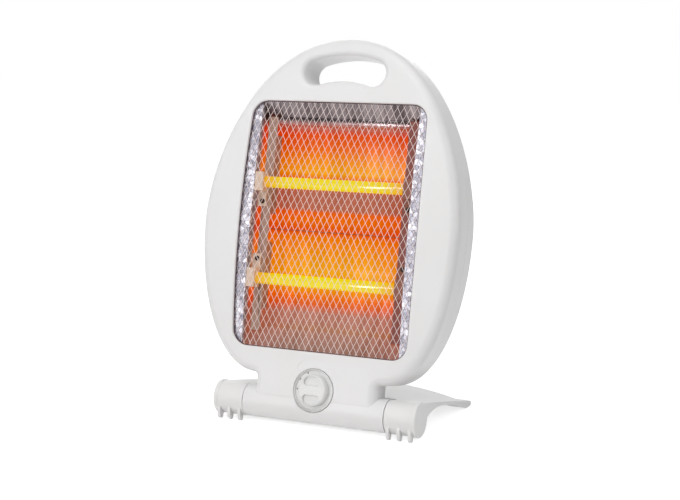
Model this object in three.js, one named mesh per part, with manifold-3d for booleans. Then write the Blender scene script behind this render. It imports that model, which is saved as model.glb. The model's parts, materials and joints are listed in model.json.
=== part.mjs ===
// Two-bar quartz heater on a tilting foot. Millimetres, +Z up, the front faces -Y.
// The head is modelled upright in its own frame, whose X axis is the axis of the hinge tube, and leans
// back on the stand. In the head, x runs to the right, y to the back and z up along the head.
import * as THREE from "three";
import { mergeVertices } from "three/addons/utils/BufferGeometryUtils.js";
import Module from "manifold-3d";

const wasm = await Module();
wasm.setup();

// ---------------------------------------------------------------- driving dimensions
const AXIS_HEIGHT = 19.2; // hinge axis above the floor
const HEAD_LEAN = THREE.MathUtils.degToRad(11.64); // head leaning back at rest
const TOUCH = 0.3; // gap between pieces that touch or seat on each other

// Facets of the curved forms
const FILLET_STEPS = 2;
const CORNER_STEPS = 4;
const LOWER_STEPS = 11;
const UPPER_STEPS = 14;
const ROLL_STEPS = 3;
const FACE_BENDS = 4; // flats that stand for the bow of the mesh and of the flanges behind it
const LARGE_SIDES = 24;
const MIDDLE_SIDES = 16;
const SMALL_SIDES = 10;
const SCREW_SIDES = 8;
const LEAD_STEPS = 14;
const LEAD_SIDES = 5;
const STAND_STEPS = 12;

// Head outline, seen square on: an egg whose lower side runs into a short neck above the hinge tube
const REFLECTOR_HALF_WIDTH = 83.5;
const WINDOW_HALF_WIDTH = REFLECTOR_HALF_WIDTH + 8.9;
const HEAD_HALF_WIDTH = WINDOW_HALF_WIDTH + 42.4;
const HEAD_WIDEST_Z = 175.8;
const HEAD_TOP_Z = 359;
const HEAD_BOTTOM_Z = 28;
const HEAD_SHOULDER = { x: HEAD_HALF_WIDTH - 36.2, z: 54.4 }; // pull of the upper curve at its two ends
const HEAD_JAW = { x: HEAD_HALF_WIDTH - 23.3, z: 78, dip: 2 }; // pull of the lower curve at its two ends
const TUBE_RADIUS = 16.1;
const TUBE_HALF_LENGTH = 74.4;
const TUBE_END_WALL = 2.8;
const NECK_HALF_WIDTH = TUBE_HALF_LENGTH - 9.9;
const NECK_FILLET = 4;

// Covers: depths are measured from the hinge axis, forwards for the face and backwards for the rear
const WALL = 2.4;
const FACE_DEPTH = 15.4; // face at the window's upper and lower edge
const FACE_BOW = 6.4; // how much further forward the face stands at the window's middle
const FACE_EASE = 14; // height over which the face turns flat below the window
const FRONT_ROLL = 9; // rounded edge round the face
const REAR_ROLL = 8;
const REAR_Y = 28;
const PARTING_Y = 5;
const NECK_REAR_Y = 9;

// Window and carry handle
const WINDOW_BOTTOM_Z = HEAD_BOTTOM_Z + 24.9;
const WINDOW_TOP_Z = HEAD_TOP_Z - 64.6;
const WINDOW_SIDE_BOW = 1.9;
const WINDOW_CORNER = 16;
const HANDLE_Z = HEAD_TOP_Z - 30.3; // middle of the hand hole
const HANDLE_BEND = 100; // radius of the hand hole's bent centre line
const HANDLE_HALF_HEIGHT = 12.8;
const HANDLE_HALF_WIDTH = 43.5;
const HANDLE_RIM = 5.5; // rounding of the hole's front rim
const HANDLE_REAR_RIM = 4;

// Hinge, and the stand that carries it
const CAP_GAP = 0.6;
const CAP_LENGTH = 31.8;
const CAP_END_X = TUBE_HALF_LENGTH + CAP_GAP + CAP_LENGTH;
const CAP_DISC = { radius: 16.9, thickness: 4.6, edge: 1.2 };
const CAP_WALL = 2.6;
const HUB_RADIUS = 8;
const HUB_INNER_X = TUBE_HALF_LENGTH - 4.8;
const BUSH_WALL = 2.2;
const BUSH_FLANGE = { width: 2.6, thickness: 1.5 };
const WASHER = { radius: 11.5, thickness: 1.5 };
const PIVOT_SCREW = { head: 5, headHeight: 2.2, shank: 2, length: 16 };
const RUNNING = 0.3; // radial play of the hub in its bush

const STAND_REACH = 145; // hinge axis to the rear edge, at the corners
const STAND_TIP_THICKNESS = 5;
const STAND_CROWN = 8; // how far the middle of the plate arches up at the rear edge
const STAND_REAR_BOW = 8;
const STAND_CORNER = 12;
const STAND_PAD = 12; // depth of the flat that rests on the floor under the rear corners
const STAND_HALF_WIDTH = CAP_END_X - 1; // plate's side edges lie just within the end caps
const STAND_CROWN_HALF_WIDTH = STAND_HALF_WIDTH * (1 - 2 / STAND_STEPS); // the outermost strips stay flat
const STAND_VALLEY_RADIUS = 22; // clears the neck as the head leans
const STAND_HOLLOW = { low: 6, rise: 12 }; // underside of the plate: how it arches up behind the caps
const STAND_RIB = { x: 44, thickness: 2, start: 40, end: 118, top: 2, foot: 6, tail: 7 };
const TOE = { pitch: 11.15, middleX: TUBE_HALF_LENGTH + CAP_GAP + 15, thickness: 3, front: 15.8, rear: 7 };

// Diamond mesh
const NET_PITCH_X = 15.2;
const NET_PITCH_Z = 28.1;
const NET_WIRE = 1.1;
const NET_THICKNESS = 1.2;
const NET_BORDER = 3;
const NET_LAP = 1.8; // how far the mesh reaches behind the window's edge

// Reflector, tubes and what holds them
const SHEET = 0.8;
const FLANGE_WIDTH = 13.5;
const WEB_SLOPE = 24; // height over which the side walls fall back from the window's edge to the floor
const EAR = {
  x: REFLECTOR_HALF_WIDTH + 19.5,
  rootX: REFLECTOR_HALF_WIDTH + 6.5,
  z: [WINDOW_BOTTOM_Z + 39.1, WINDOW_TOP_Z - 42.4],
  radius: 4.2,
  postRadius: 3.6,
  set: 0.35,
};
const TROUGH_FLOOR_Y = 15.5;
const TROUGH_LIP_Y = 1;
const TROUGH_TOP_Z = WINDOW_TOP_Z - 18.4;
const TROUGH_BOTTOM_Z = WINDOW_BOTTOM_Z + 19.1;
const TROUGH_PULL = { lip: 20, ridge: 16, depth: 5.5 }; // how the bowed floor leaves lip and ridge
const TUBE_Z = { upper: TROUGH_TOP_Z - 61.5, lower: TROUGH_BOTTOM_Z + 47.7 };
const RIDGE_Z = TUBE_Z.lower + 49.3; // where the two troughs meet
const STRIP_FRONT_Y = -11;
const SHIELD = {
  halfWidth: REFLECTOR_HALF_WIDTH + 2,
  bottom: TROUGH_BOTTOM_Z - 8,
  top: TROUGH_TOP_Z + 8,
  lip: 4,
};
const TUBE_Y = -9;
const QUARTZ_RADIUS = 5.5;
const QUARTZ_WALL = 1.1;
const QUARTZ_HALF_LENGTH = REFLECTOR_HALF_WIDTH - 2.9;
const CORE_RADIUS = 2.2;
const BRACKET = { inner: REFLECTOR_HALF_WIDTH - 13.5, outer: REFLECTOR_HALF_WIDTH - 3.5, frontY: -3 };
const CERAMIC = {
  inner: REFLECTOR_HALF_WIDTH - 9.3,
  halfHeight: 9.3,
  front: 6.8,
  tab: 24,
  tabThickness: 3,
  screwX: BRACKET.outer - 2.6,
  screwDrop: 19,
};
const TERMINAL = {
  radius: 1.4,
  reach: REFLECTOR_HALF_WIDTH + 6.5,
  tag: 5,
  tagHalfWidth: 2.6,
  tagHalfThickness: 0.5,
};

// Knob, dial and switches
const KNOB_Z = 16.6;
const DIAL_HOLE_RADIUS = 21.2;
const DIAL_SINK = 1;
const DIAL_THICKNESS = 2.2;
const DIAL_FLANGE = 1.8;
const DIAL_RIM = { proud: 0.6, width: 0.8, slope: 1.2 };
const KNOB_RADIUS = 15.4;
const KNOB_PROUD = 4.6; // knob's face in front of the cover
const KNOB_BAR = 4.6; // half height of the bar between the finger hollows
const KNOB_HOLLOW = { halfWidth: 8.4, height: 8.6, depth: 2.4, corner: 4 };
const KNOB_SOCKET = 1.4; // wall left between the knob's face and the shaft
const SHAFT = { radius: 3, intoSwitch: 5 };
const SWITCH_BODY = { half: 14.5, depth: 14, tagRise: 2.6, tagHalfWidth: 2, tagPitch: 8 };
const TIP_SWITCH = {
  x: 38,
  pinY: -5,
  pinZ: HEAD_BOTTOM_Z + 3,
  halfWidth: 8,
  cheek: 1.5,
  back: 4.9,
  crown: 4,
  drop: 6,
  nose: 3,
};
const PENDULUM = { length: 13, radius: 3.2, thickness: 10, eye: 3.2, pin: 1.2, armHalf: 2, armDepth: 1.6 };
const CUTOUT = { x: 30, z: 178, radius: 8, height: 5 };
const BLOCK = { x: -36, z: HEAD_BOTTOM_Z + 23, width: 28, height: 11, depth: 12 };
const BLOCK_WELL = { radius: 2.2, pitch: 8.75, depth: 4 };
const GLAND = { z: HEAD_BOTTOM_Z + 12, radius: 6, bore: 3.6, lip: 8.4, lipHeight: 2, length: 9 };
const LEAD_RADIUS = 1.3;
const LEAD_PITCH = 5; // between the leads of the upper and the lower tube
const LEAD = { straight: 2, side: 13.5, drop: 24, low: 25.1, step: 6 };

// Screws that hold the covers together, as places of their posts
const COVER_POSTS = [
  { x: NECK_HALF_WIDTH - 14.5, z: HEAD_BOTTOM_Z + 10.5 },
  { x: HEAD_HALF_WIDTH - 21.3, z: HEAD_WIDEST_Z - 57.8 },
  { x: HANDLE_HALF_WIDTH + 24.5, z: WINDOW_TOP_Z + 17.6 },
];
const POST = { radius: 4.8, bore: 1.7, headBore: 3.6, seatY: 11, bossEnd: -7, bite: 1.2 };
const COVER_SCREW = { head: 3.1, headHeight: 2.2, shank: 1.4, length: 16 };
const SMALL_SCREW = { head: 2.6, headHeight: 1.5, shank: 1.2, length: 4.4 };

// Air slots in the rear cover, in rows above and below the middle
const SLOT = { halfLength: 20, halfHeight: 2.1, pitchX: 50, pitchZ: 12 };
const SLOT_ROWS = [{ z: WINDOW_BOTTOM_Z + 21.1, count: 3 }, { z: WINDOW_TOP_Z - 58.4, count: 4 }];

// ---------------------------------------------------------------- materials
const plastic = (color) => new THREE.MeshStandardMaterial({ color, roughness: 0.42, metalness: 0 });
const metal = (color, roughness) => new THREE.MeshStandardMaterial({ color, roughness, metalness: 1 });
const whitePlastic = "#e6e5e5";
const steel = "#a9abb0";
const zincSteel = "#8e9196";
const ceramicBeige = "#d9c7b4";
const aluminium = "#c3c1c8";

// ---------------------------------------------------------------- solids and joins
// A closed mesh as a solid, with its faces turned outwards
function solid(geometry) {
  const bare = geometry.clone();
  bare.deleteAttribute("normal");
  bare.deleteAttribute("uv");
  const merged = mergeVertices(bare, 1e-4);
  const points = merged.attributes.position.array;
  const make = (triangles) =>
    new wasm.Manifold(new wasm.Mesh({ numProp: 3, vertProperties: points, triVerts: triangles }));
  const triangles = new Uint32Array(merged.index.array);
  const made = make(triangles);
  return made.volume() < 0 ? make(triangles.reverse()) : made;
}

function geometryOf(body) {
  const mesh = body.getMesh();
  const geometry = new THREE.BufferGeometry();
  geometry.setAttribute("position", new THREE.BufferAttribute(mesh.vertProperties, 3));
  geometry.setIndex(new THREE.BufferAttribute(mesh.triVerts, 1));
  geometry.computeVertexNormals();
  return geometry;
}

const union = (bodies) => bodies.reduce((sum, body) => sum.add(body));
const without = (body, cutters) => cutters.reduce((rest, cutter) => rest.subtract(cutter), body);
const mirrored = (make) => [-1, 1].map(make);
const ordered = (a, b) => [Math.min(a, b), Math.max(a, b)];

function piece(group, name, material, body) {
  const mesh = new THREE.Mesh(geometryOf(body), material);
  mesh.name = name;
  group.add(mesh);
  return mesh;
}

// ---------------------------------------------------------------- basic forms
function box(x0, x1, y0, y1, z0, z1) {
  const geometry = new THREE.BoxGeometry(x1 - x0, y1 - y0, z1 - z0);
  return solid(geometry.translate((x0 + x1) / 2, (y0 + y1) / 2, (z0 + z1) / 2));
}

// A turned form along +X, from [x, radius] stations; it closes on the axis
function turnedX(stations, sides = MIDDLE_SIDES) {
  const profile = stations.map(([x, radius]) => new THREE.Vector2(radius, x));
  const closed = [new THREE.Vector2(0, stations[0][0]), ...profile, new THREE.Vector2(0, stations.at(-1)[0])];
  return solid(new THREE.LatheGeometry(closed, sides).rotateZ(-Math.PI / 2));
}

const rodX = (x0, x1, radius, sides = MIDDLE_SIDES) => turnedX([[x0, radius], [x1, radius]], sides);

// A turned form along +Y, from [y, radius] stations, moved to x and z
function turnedY(stations, x, z, sides = MIDDLE_SIDES) {
  const profile = stations.map(([y, radius]) => new THREE.Vector2(radius, y));
  const closed = [new THREE.Vector2(0, stations[0][0]), ...profile, new THREE.Vector2(0, stations.at(-1)[0])];
  return solid(new THREE.LatheGeometry(closed, sides).translate(x, 0, z));
}

const rodY = (y0, y1, radius, x, z, sides = MIDDLE_SIDES) =>
  turnedY([[y0, radius], [y1, radius]], x, z, sides);

// A flat shape in x and z, pushed from y0 to y1
function plateXZ(shape, y0, y1, curveSegments = 5) {
  const settings = { depth: y1 - y0, bevelEnabled: false, curveSegments };
  return solid(new THREE.ExtrudeGeometry(shape, settings).rotateX(Math.PI / 2).translate(0, y1, 0));
}

// A profile in y and z, pushed along X from x0 to x1
function profileYZ(points, x0, x1, steps = 1) {
  const shape = new THREE.Shape(points.map(([y, z]) => new THREE.Vector2(y, z)));
  const geometry = new THREE.ExtrudeGeometry(shape, { depth: x1 - x0, bevelEnabled: false, steps });
  const toFrame = new THREE.Matrix4().makeBasis(
    new THREE.Vector3(0, 1, 0),
    new THREE.Vector3(0, 0, 1),
    new THREE.Vector3(1, 0, 0),
  );
  return geometry.applyMatrix4(toFrame).translate(x0, 0, 0);
}

// Skin between rings of equal count; each ring is left-right symmetric and starts at its bottom middle,
// so both ends close with strips that run straight across from side to side
function loft(rings) {
  const count = rings[0].length;
  const top = count / 2;
  const triangles = [];
  rings.slice(1).forEach((_, level) => {
    for (let i = 0; i < count; i++) {
      const a = level * count + i;
      const b = level * count + ((i + 1) % count);
      triangles.push(a, b, b + count, a, b + count, a + count);
    }
  });
  const cap = (start, flip) => {
    const face = (a, b, c) => triangles.push(...(flip ? [a, c, b] : [a, b, c]).map((i) => start + i));
    face(0, 1, count - 1);
    for (let i = 1; i < top - 1; i++) {
      face(i, i + 1, count - i);
      face(i + 1, count - i - 1, count - i);
    }
    face(top - 1, top, top + 1);
  };
  cap(0, true);
  cap((rings.length - 1) * count, false);
  const geometry = new THREE.BufferGeometry();
  geometry.setAttribute("position", new THREE.Float32BufferAttribute(rings.flat(2), 3));
  geometry.setIndex(triangles);
  return solid(geometry);
}

// Whole loop from the points of its right side, which run from the bottom middle to the top middle
const wholeLoop = (right) => [
  ...right,
  ...right.slice(1, -1).reverse().map(([x, z]) => [-x, z]),
];

// Loop moved inwards by a distance, square to its sides
function insetLoop(loop, distance) {
  const count = loop.length;
  return loop.map(([x, z], i) => {
    const before = loop[(i + count - 1) % count];
    const after = loop[(i + 1) % count];
    const n1 = new THREE.Vector2(-(z - before[1]), x - before[0]).normalize();
    const n2 = new THREE.Vector2(-(after[1] - z), after[0] - x).normalize();
    const miter = n1.clone().add(n2).normalize();
    const reach = distance / Math.max(miter.dot(n1), 0.35);
    return [x + miter.x * reach, z + miter.y * reach];
  });
}

// Points of a corner rounded between two directions
function arc(cx, cz, radius, from, to, steps) {
  return Array.from({ length: steps + 1 }, (_, i) => {
    const angle = THREE.MathUtils.degToRad(from + ((to - from) * i) / steps);
    return [cx + radius * Math.cos(angle), cz + radius * Math.sin(angle)];
  });
}

// ---------------------------------------------------------------- head outlines and face
function headSide() {
  const curve = (points, steps) =>
    new THREE.CubicBezierCurve(...points.map(([x, z]) => new THREE.Vector2(x, z)))
      .getSpacedPoints(steps)
      .map((p) => [p.x, p.y]);
  const widest = [HEAD_HALF_WIDTH, HEAD_WIDEST_Z];
  const lower = curve(
    [
      [NECK_HALF_WIDTH, HEAD_BOTTOM_Z],
      [HEAD_JAW.x, HEAD_BOTTOM_Z - HEAD_JAW.dip],
      [HEAD_HALF_WIDTH, HEAD_WIDEST_Z - HEAD_JAW.z],
      widest,
    ],
    LOWER_STEPS,
  );
  const upper = curve(
    [
      widest,
      [HEAD_HALF_WIDTH, HEAD_WIDEST_Z + HEAD_SHOULDER.z],
      [HEAD_SHOULDER.x, HEAD_TOP_Z],
      [0, HEAD_TOP_Z],
    ],
    UPPER_STEPS,
  );
  return [...lower.slice(1), ...upper.slice(1, -1), [0, HEAD_TOP_Z]];
}

// Front outline: from the middle of the tube out to the neck, up round the inner corner and on
function frontOutline() {
  const corner = arc(
    NECK_HALF_WIDTH + NECK_FILLET,
    HEAD_BOTTOM_Z - NECK_FILLET,
    NECK_FILLET,
    180,
    90,
    FILLET_STEPS,
  );
  const cornerEnd = NECK_HALF_WIDTH + NECK_FILLET + 1;
  const clearOfCorner = headSide().filter(([x, z]) => z > HEAD_WIDEST_Z || x > cornerEnd);
  return wholeLoop([[0, 0], [NECK_HALF_WIDTH, 0], ...corner, ...clearOfCorner]);
}

const rearOutline = () => wholeLoop([[0, HEAD_BOTTOM_Z], [NECK_HALF_WIDTH, HEAD_BOTTOM_Z], ...headSide()]);

// Depth of the face in front of the hinge axis at height z: bowed over the window, flat below it
function faceDepth(z) {
  const middle = (WINDOW_TOP_Z + WINDOW_BOTTOM_Z) / 2;
  const half = (WINDOW_TOP_Z - WINDOW_BOTTOM_Z) / 2;
  const slope = (2 * FACE_BOW) / half;
  const below = WINDOW_BOTTOM_Z - z;
  if (below <= 0) return FACE_DEPTH + FACE_BOW * (1 - ((z - middle) / half) ** 2);
  const eased = Math.min(below, FACE_EASE);
  return FACE_DEPTH - slope * (eased - eased ** 2 / (2 * FACE_EASE));
}

const faceY = (z) => -faceDepth(z);
const onFace = (loop, back) => loop.map(([x, z]) => [x, faceY(z) + back, z]);
const atDepth = (loop, y) => loop.map(([x, z]) => [x, y, z]);

// Quarter-round steps as [inset, depth] pairs, from the flat face out to the side
const rollSteps = (radius, steps) =>
  Array.from({ length: steps + 1 }, (_, i) => {
    const angle = (Math.PI / 2) * (i / steps);
    return [radius * (1 - Math.sin(angle)), radius * (1 - Math.cos(angle))];
  });

function frontForm(shrink, rearY) {
  const loop = frontOutline();
  const roll = rollSteps(FRONT_ROLL - shrink, shrink > 0 ? 2 : ROLL_STEPS);
  return loft([
    ...roll.map(([inset, depth]) => onFace(insetLoop(loop, inset + shrink), depth + shrink)),
    atDepth(insetLoop(loop, shrink), rearY),
  ]);
}

function rearForm(shrink, frontY) {
  const loop = rearOutline();
  const roll = rollSteps(REAR_ROLL - shrink, shrink > 0 ? 2 : ROLL_STEPS - 1).reverse();
  return loft([
    atDepth(insetLoop(loop, shrink), frontY),
    ...roll.map(([inset, depth]) => atDepth(insetLoop(loop, inset + shrink), REAR_Y - shrink - depth)),
  ]);
}

// Bent oblong of the hand hole, grown by a margin
function handleLoop(margin) {
  const half = HANDLE_HALF_HEIGHT + margin;
  const endAngle = THREE.MathUtils.radToDeg((HANDLE_HALF_WIDTH - HANDLE_HALF_HEIGHT) / HANDLE_BEND);
  const centreZ = HANDLE_Z - HANDLE_BEND;
  const endX = HANDLE_BEND * Math.sin(THREE.MathUtils.degToRad(endAngle));
  const endZ = centreZ + HANDLE_BEND * Math.cos(THREE.MathUtils.degToRad(endAngle));
  const bottom = arc(0, centreZ, HANDLE_BEND - half, 90, 90 - endAngle, 3);
  const end = arc(endX, endZ, half, -90 - endAngle, 90 - endAngle, 8);
  const top = arc(0, centreZ, HANDLE_BEND + half, 90 - endAngle, 90, 4);
  return wholeLoop([...bottom, ...end.slice(1), ...top.slice(1)]);
}

function handleHole() {
  const front = rollSteps(HANDLE_RIM, 3);
  const rear = rollSteps(HANDLE_REAR_RIM, 2).reverse();
  return loft([
    onFace(handleLoop(HANDLE_RIM + 0.4), -1),
    ...front.map(([grow, depth]) => onFace(handleLoop(grow), depth)),
    ...rear.map(([grow, depth]) => atDepth(handleLoop(grow), REAR_Y - depth)),
    atDepth(handleLoop(HANDLE_REAR_RIM + 0.4), REAR_Y + 1),
  ]);
}

const handleTunnel = (y0, y1) => loft([atDepth(handleLoop(WALL), y0), atDepth(handleLoop(WALL), y1)]);

// Window outline grown by a margin: straight above and below, bowed at the sides, with round corners
function windowShape(margin) {
  const half = WINDOW_HALF_WIDTH + margin;
  const top = WINDOW_TOP_Z + margin;
  const bottom = WINDOW_BOTTOM_Z - margin;
  const radius = WINDOW_CORNER + margin;
  const side = new THREE.QuadraticBezierCurve(
    new THREE.Vector2(half, bottom + radius),
    new THREE.Vector2(half + 2 * WINDOW_SIDE_BOW, (bottom + top) / 2),
    new THREE.Vector2(half, top - radius),
  );
  const right = [
    [0, bottom],
    ...arc(half - radius, bottom + radius, radius, -90, 0, CORNER_STEPS),
    ...side.getPoints(FACE_BENDS).slice(1, -1).map((p) => [p.x, p.y]),
    ...arc(half - radius, top - radius, radius, 0, 90, CORNER_STEPS),
    [0, top],
  ];
  return new THREE.Shape(wholeLoop(right).map((p) => new THREE.Vector2(...p)));
}

// ---------------------------------------------------------------- covers
const FACE_INSIDE_Y = -faceDepth(0) + WALL; // inner side of the flat lower face
const FAR = 60; // reach of a cutter past what it cuts
const evenRodX = (half, radius, sides) => rodX(-half, half, radius, sides);
const tubeInside = () => evenRodX(TUBE_HALF_LENGTH - TUBE_END_WALL, TUBE_RADIUS - WALL, LARGE_SIDES);
const tubeOutside = () => evenRodX(TUBE_HALF_LENGTH, TUBE_RADIUS, LARGE_SIDES);
const bushHole = () => evenRodX(TUBE_HALF_LENGTH + 1, HUB_RADIUS + RUNNING + BUSH_WALL + TOUCH, MIDDLE_SIDES);
const inFront = () => box(-2 * FAR, 2 * FAR, -FAR, PARTING_Y, -FAR, 7 * FAR);
const behind = () => box(-2 * FAR, 2 * FAR, PARTING_Y + TOUCH, FAR, -FAR, 7 * FAR);
const everyPost = (make) => COVER_POSTS.flatMap(({ x, z }) => mirrored((side) => make(side * x, z)));

function frontCover() {
  const outside = frontForm(0, PARTING_Y).add(tubeOutside().intersect(inFront()));
  const neckHollow = box(-NECK_HALF_WIDTH + WALL, NECK_HALF_WIDTH - WALL, FACE_INSIDE_Y, 0, 0, KNOB_Z);
  const hollow = union([frontForm(WALL, PARTING_Y + 1), neckHollow, tubeInside()]);
  const bosses = everyPost((x, z) => rodY(faceY(z) + POST.bite, PARTING_Y, POST.radius, x, z, SMALL_SIDES));
  const bossBores = everyPost((x, z) => rodY(POST.bossEnd, PARTING_Y + 1, POST.bore, x, z, SCREW_SIDES));
  const earPosts = EAR.z.flatMap((z) =>
    mirrored((side) => {
      const start = faceY(z) + POST.bite;
      return rodY(start, earY(z) - TOUCH, EAR.postRadius, side * EAR.x, z, SMALL_SIDES);
    }),
  );
  const earBores = EAR.z.flatMap((z) =>
    mirrored((side) => {
      const end = earY(z) + SHEET - SMALL_SCREW.length;
      return rodY(end, 0, SMALL_SCREW.shank + TOUCH, side * EAR.x, z, SCREW_SIDES);
    }),
  );
  const kept = hollow.subtract(handleTunnel(-FAR, PARTING_Y + 1));
  const shell = without(outside, [kept, plateXZ(windowShape(0), -FAR, 0)]);
  return without(union([shell, ...bosses, ...earPosts]), [
    ...bossBores,
    ...earBores,
    handleHole(),
    bushHole(),
    rodY(-FAR, 0, DIAL_HOLE_RADIUS, 0, KNOB_Z, LARGE_SIDES),
  ]);
}

function slotShape(x, z) {
  const { halfLength, halfHeight } = SLOT;
  const shape = new THREE.Shape();
  shape.absarc(x + halfLength, z, halfHeight, -Math.PI / 2, Math.PI / 2, false);
  shape.absarc(x - halfLength, z, halfHeight, Math.PI / 2, 1.5 * Math.PI, false);
  return shape;
}

function rearCover() {
  const neck = box(-NECK_HALF_WIDTH, NECK_HALF_WIDTH, 0, NECK_REAR_Y, 0, HEAD_BOTTOM_Z + REAR_ROLL + 2);
  const neckHollow = box(
    -NECK_HALF_WIDTH + WALL,
    NECK_HALF_WIDTH - WALL,
    -1,
    NECK_REAR_Y - WALL,
    0,
    HEAD_BOTTOM_Z + REAR_ROLL + 3,
  );
  const start = PARTING_Y + TOUCH;
  const outside = union([rearForm(0, start), neck.add(tubeOutside()).intersect(behind())]);
  const hollow = union([rearForm(WALL, start - 1), neckHollow, tubeInside()]);
  const posts = everyPost((x, z) => rodY(start, REAR_Y - 1, POST.radius, x, z, SMALL_SIDES));
  const { bore, seatY, headBore } = POST;
  const postBores = everyPost((x, z) =>
    turnedY([[0, bore], [seatY, bore], [seatY, headBore], [REAR_Y + 1, headBore]], x, z, SMALL_SIDES),
  );
  const kept = hollow.subtract(handleTunnel(0, FAR));
  const slots = SLOT_ROWS.flatMap(({ z, count }) =>
    Array.from({ length: count }, (_, row) => z + row * SLOT.pitchZ).flatMap((rowZ) =>
      [-1, 0, 1].map((i) => plateXZ(slotShape(i * SLOT.pitchX, rowZ), REAR_Y - 2 * WALL, REAR_Y + 1, 2)),
    ),
  );
  return without(union([outside.subtract(kept), ...posts]), [
    ...postBores,
    ...slots,
    handleHole(),
    bushHole(),
    rodY(REAR_Y - 2 * WALL, REAR_Y + 1, GLAND.radius + TOUCH, 0, GLAND.z),
  ]);
}

// ---------------------------------------------------------------- mesh
const NET_BOTTOM_Z = WINDOW_BOTTOM_Z - NET_LAP - NET_BORDER;
const NET_TOP_Z = WINDOW_TOP_Z + NET_LAP + NET_BORDER;
const spaced = (from, to, count) =>
  Array.from({ length: count + 1 }, (_, i) => from + ((to - from) * i) / count);
const BENDS = spaced(NET_BOTTOM_Z, NET_TOP_Z, FACE_BENDS);

// Depth of the face as the mesh and the flanges follow it: flat from bend to bend
function bentFaceY(z) {
  const i = Math.max(BENDS.findIndex((bend) => bend >= z), 1);
  const share = (z - BENDS[i - 1]) / (BENDS[i] - BENDS[i - 1]);
  return faceY(BENDS[i - 1]) * (1 - share) + faceY(BENDS[i]) * share;
}

const netFrontY = (z) => bentFaceY(z) + WALL + TOUCH;
const flangeY = (z) => netFrontY(z) + NET_THICKNESS + TOUCH;
const earY = (z) => flangeY(z) + EAR.set;

// Sheet of even depth that follows the bow of the face
function bowedSheet(frontY, thickness, x0, x1) {
  const front = BENDS.map((z) => [frontY(z), z]);
  const back = front.map(([y, z]) => [y + thickness, z]).reverse();
  return solid(profileYZ([...front, ...back], x0, x1));
}

// Two families of slanting wires inside a flat border, cut out of a sheet with the bow of the face
function frontGrille() {
  const depths = [netFrontY((WINDOW_TOP_Z + WINDOW_BOTTOM_Z) / 2) - 1, 0];
  const reachX = WINDOW_HALF_WIDTH + 2 * WINDOW_SIDE_BOW + NET_LAP;
  const rise = (NET_TOP_Z - NET_BOTTOM_Z) / 2;
  const shift = (rise * NET_PITCH_X) / NET_PITCH_Z;
  const halfWire = (NET_WIRE / 2) * Math.hypot(1, NET_PITCH_X / NET_PITCH_Z);
  const count = Math.ceil((reachX + shift) / NET_PITCH_X);
  const wires = [];
  for (const lean of [-1, 1]) {
    for (let i = -count; i < count; i++) {
      const x = (i + 0.5) * NET_PITCH_X;
      const low = x - lean * shift;
      const high = x + lean * shift;
      const bar = [
        [low - halfWire, NET_BOTTOM_Z],
        [low + halfWire, NET_BOTTOM_Z],
        [high + halfWire, NET_TOP_Z],
        [high - halfWire, NET_TOP_Z],
      ];
      wires.push(plateXZ(new THREE.Shape(bar.map((p) => new THREE.Vector2(...p))), ...depths));
    }
  }
  const inner = plateXZ(windowShape(NET_LAP), ...depths);
  const border = plateXZ(windowShape(NET_LAP + NET_BORDER), ...depths).subtract(inner);
  const field = union(wires).intersect(plateXZ(windowShape(NET_LAP + NET_BORDER / 2), ...depths));
  return border.add(field).intersect(bowedSheet(netFrontY, NET_THICKNESS, -FAR * 2, FAR * 2));
}

// ---------------------------------------------------------------- reflector
// Sheet of even thickness behind a bent line of [y, z] points
function sheetProfile(line, thickness) {
  const back = line.map(([y, z], i) => {
    const before = line[Math.max(i - 1, 0)];
    const after = line[Math.min(i + 1, line.length - 1)];
    const along = new THREE.Vector2(after[0] - before[0], after[1] - before[1]).normalize();
    return [y - along.y * -thickness, z - along.x * thickness];
  });
  return [...line, ...back.reverse()];
}

function reflectorSide(side) {
  const edge = BENDS.map((z) => [flangeY(z), z]);
  const inner = Math.min(side * REFLECTOR_HALF_WIDTH, side * (REFLECTOR_HALF_WIDTH + SHEET));
  const flangeX = ordered(side * REFLECTOR_HALF_WIDTH, side * (REFLECTOR_HALF_WIDTH + FLANGE_WIDTH));
  const webRear = TROUGH_FLOOR_Y + 2 * SHEET;
  const webOutline = [...edge, [webRear, NET_TOP_Z - WEB_SLOPE], [webRear, NET_BOTTOM_Z + WEB_SLOPE]];
  const web = solid(profileYZ(webOutline, inner, inner + SHEET));
  const folded = bowedSheet(flangeY, SHEET, ...flangeX)
    .add(web)
    .intersect(plateXZ(windowShape(NET_LAP), -FAR, FAR));
  const ears = EAR.z.map((z) => {
    const x = ordered(side * EAR.rootX, side * EAR.x);
    const y = earY(z);
    return box(...x, y, y + SHEET, z - EAR.radius, z + EAR.radius).add(
      rodY(y, y + SHEET, EAR.radius, side * EAR.x, z, SMALL_SIDES),
    );
  });
  const earHoles = EAR.z.map((z) => rodY(-FAR, FAR, SMALL_SCREW.shank + TOUCH, side * EAR.x, z, SCREW_SIDES));
  const leadHoles = Object.values(TUBE_Z).map((z) =>
    evenRodX(FAR * 2, TERMINAL.tagHalfWidth + TOUCH, SCREW_SIDES).translate([0, TUBE_Y, z]),
  );
  return without(union([folded, ...ears]), [...earHoles, ...leadHoles]);
}

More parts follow.
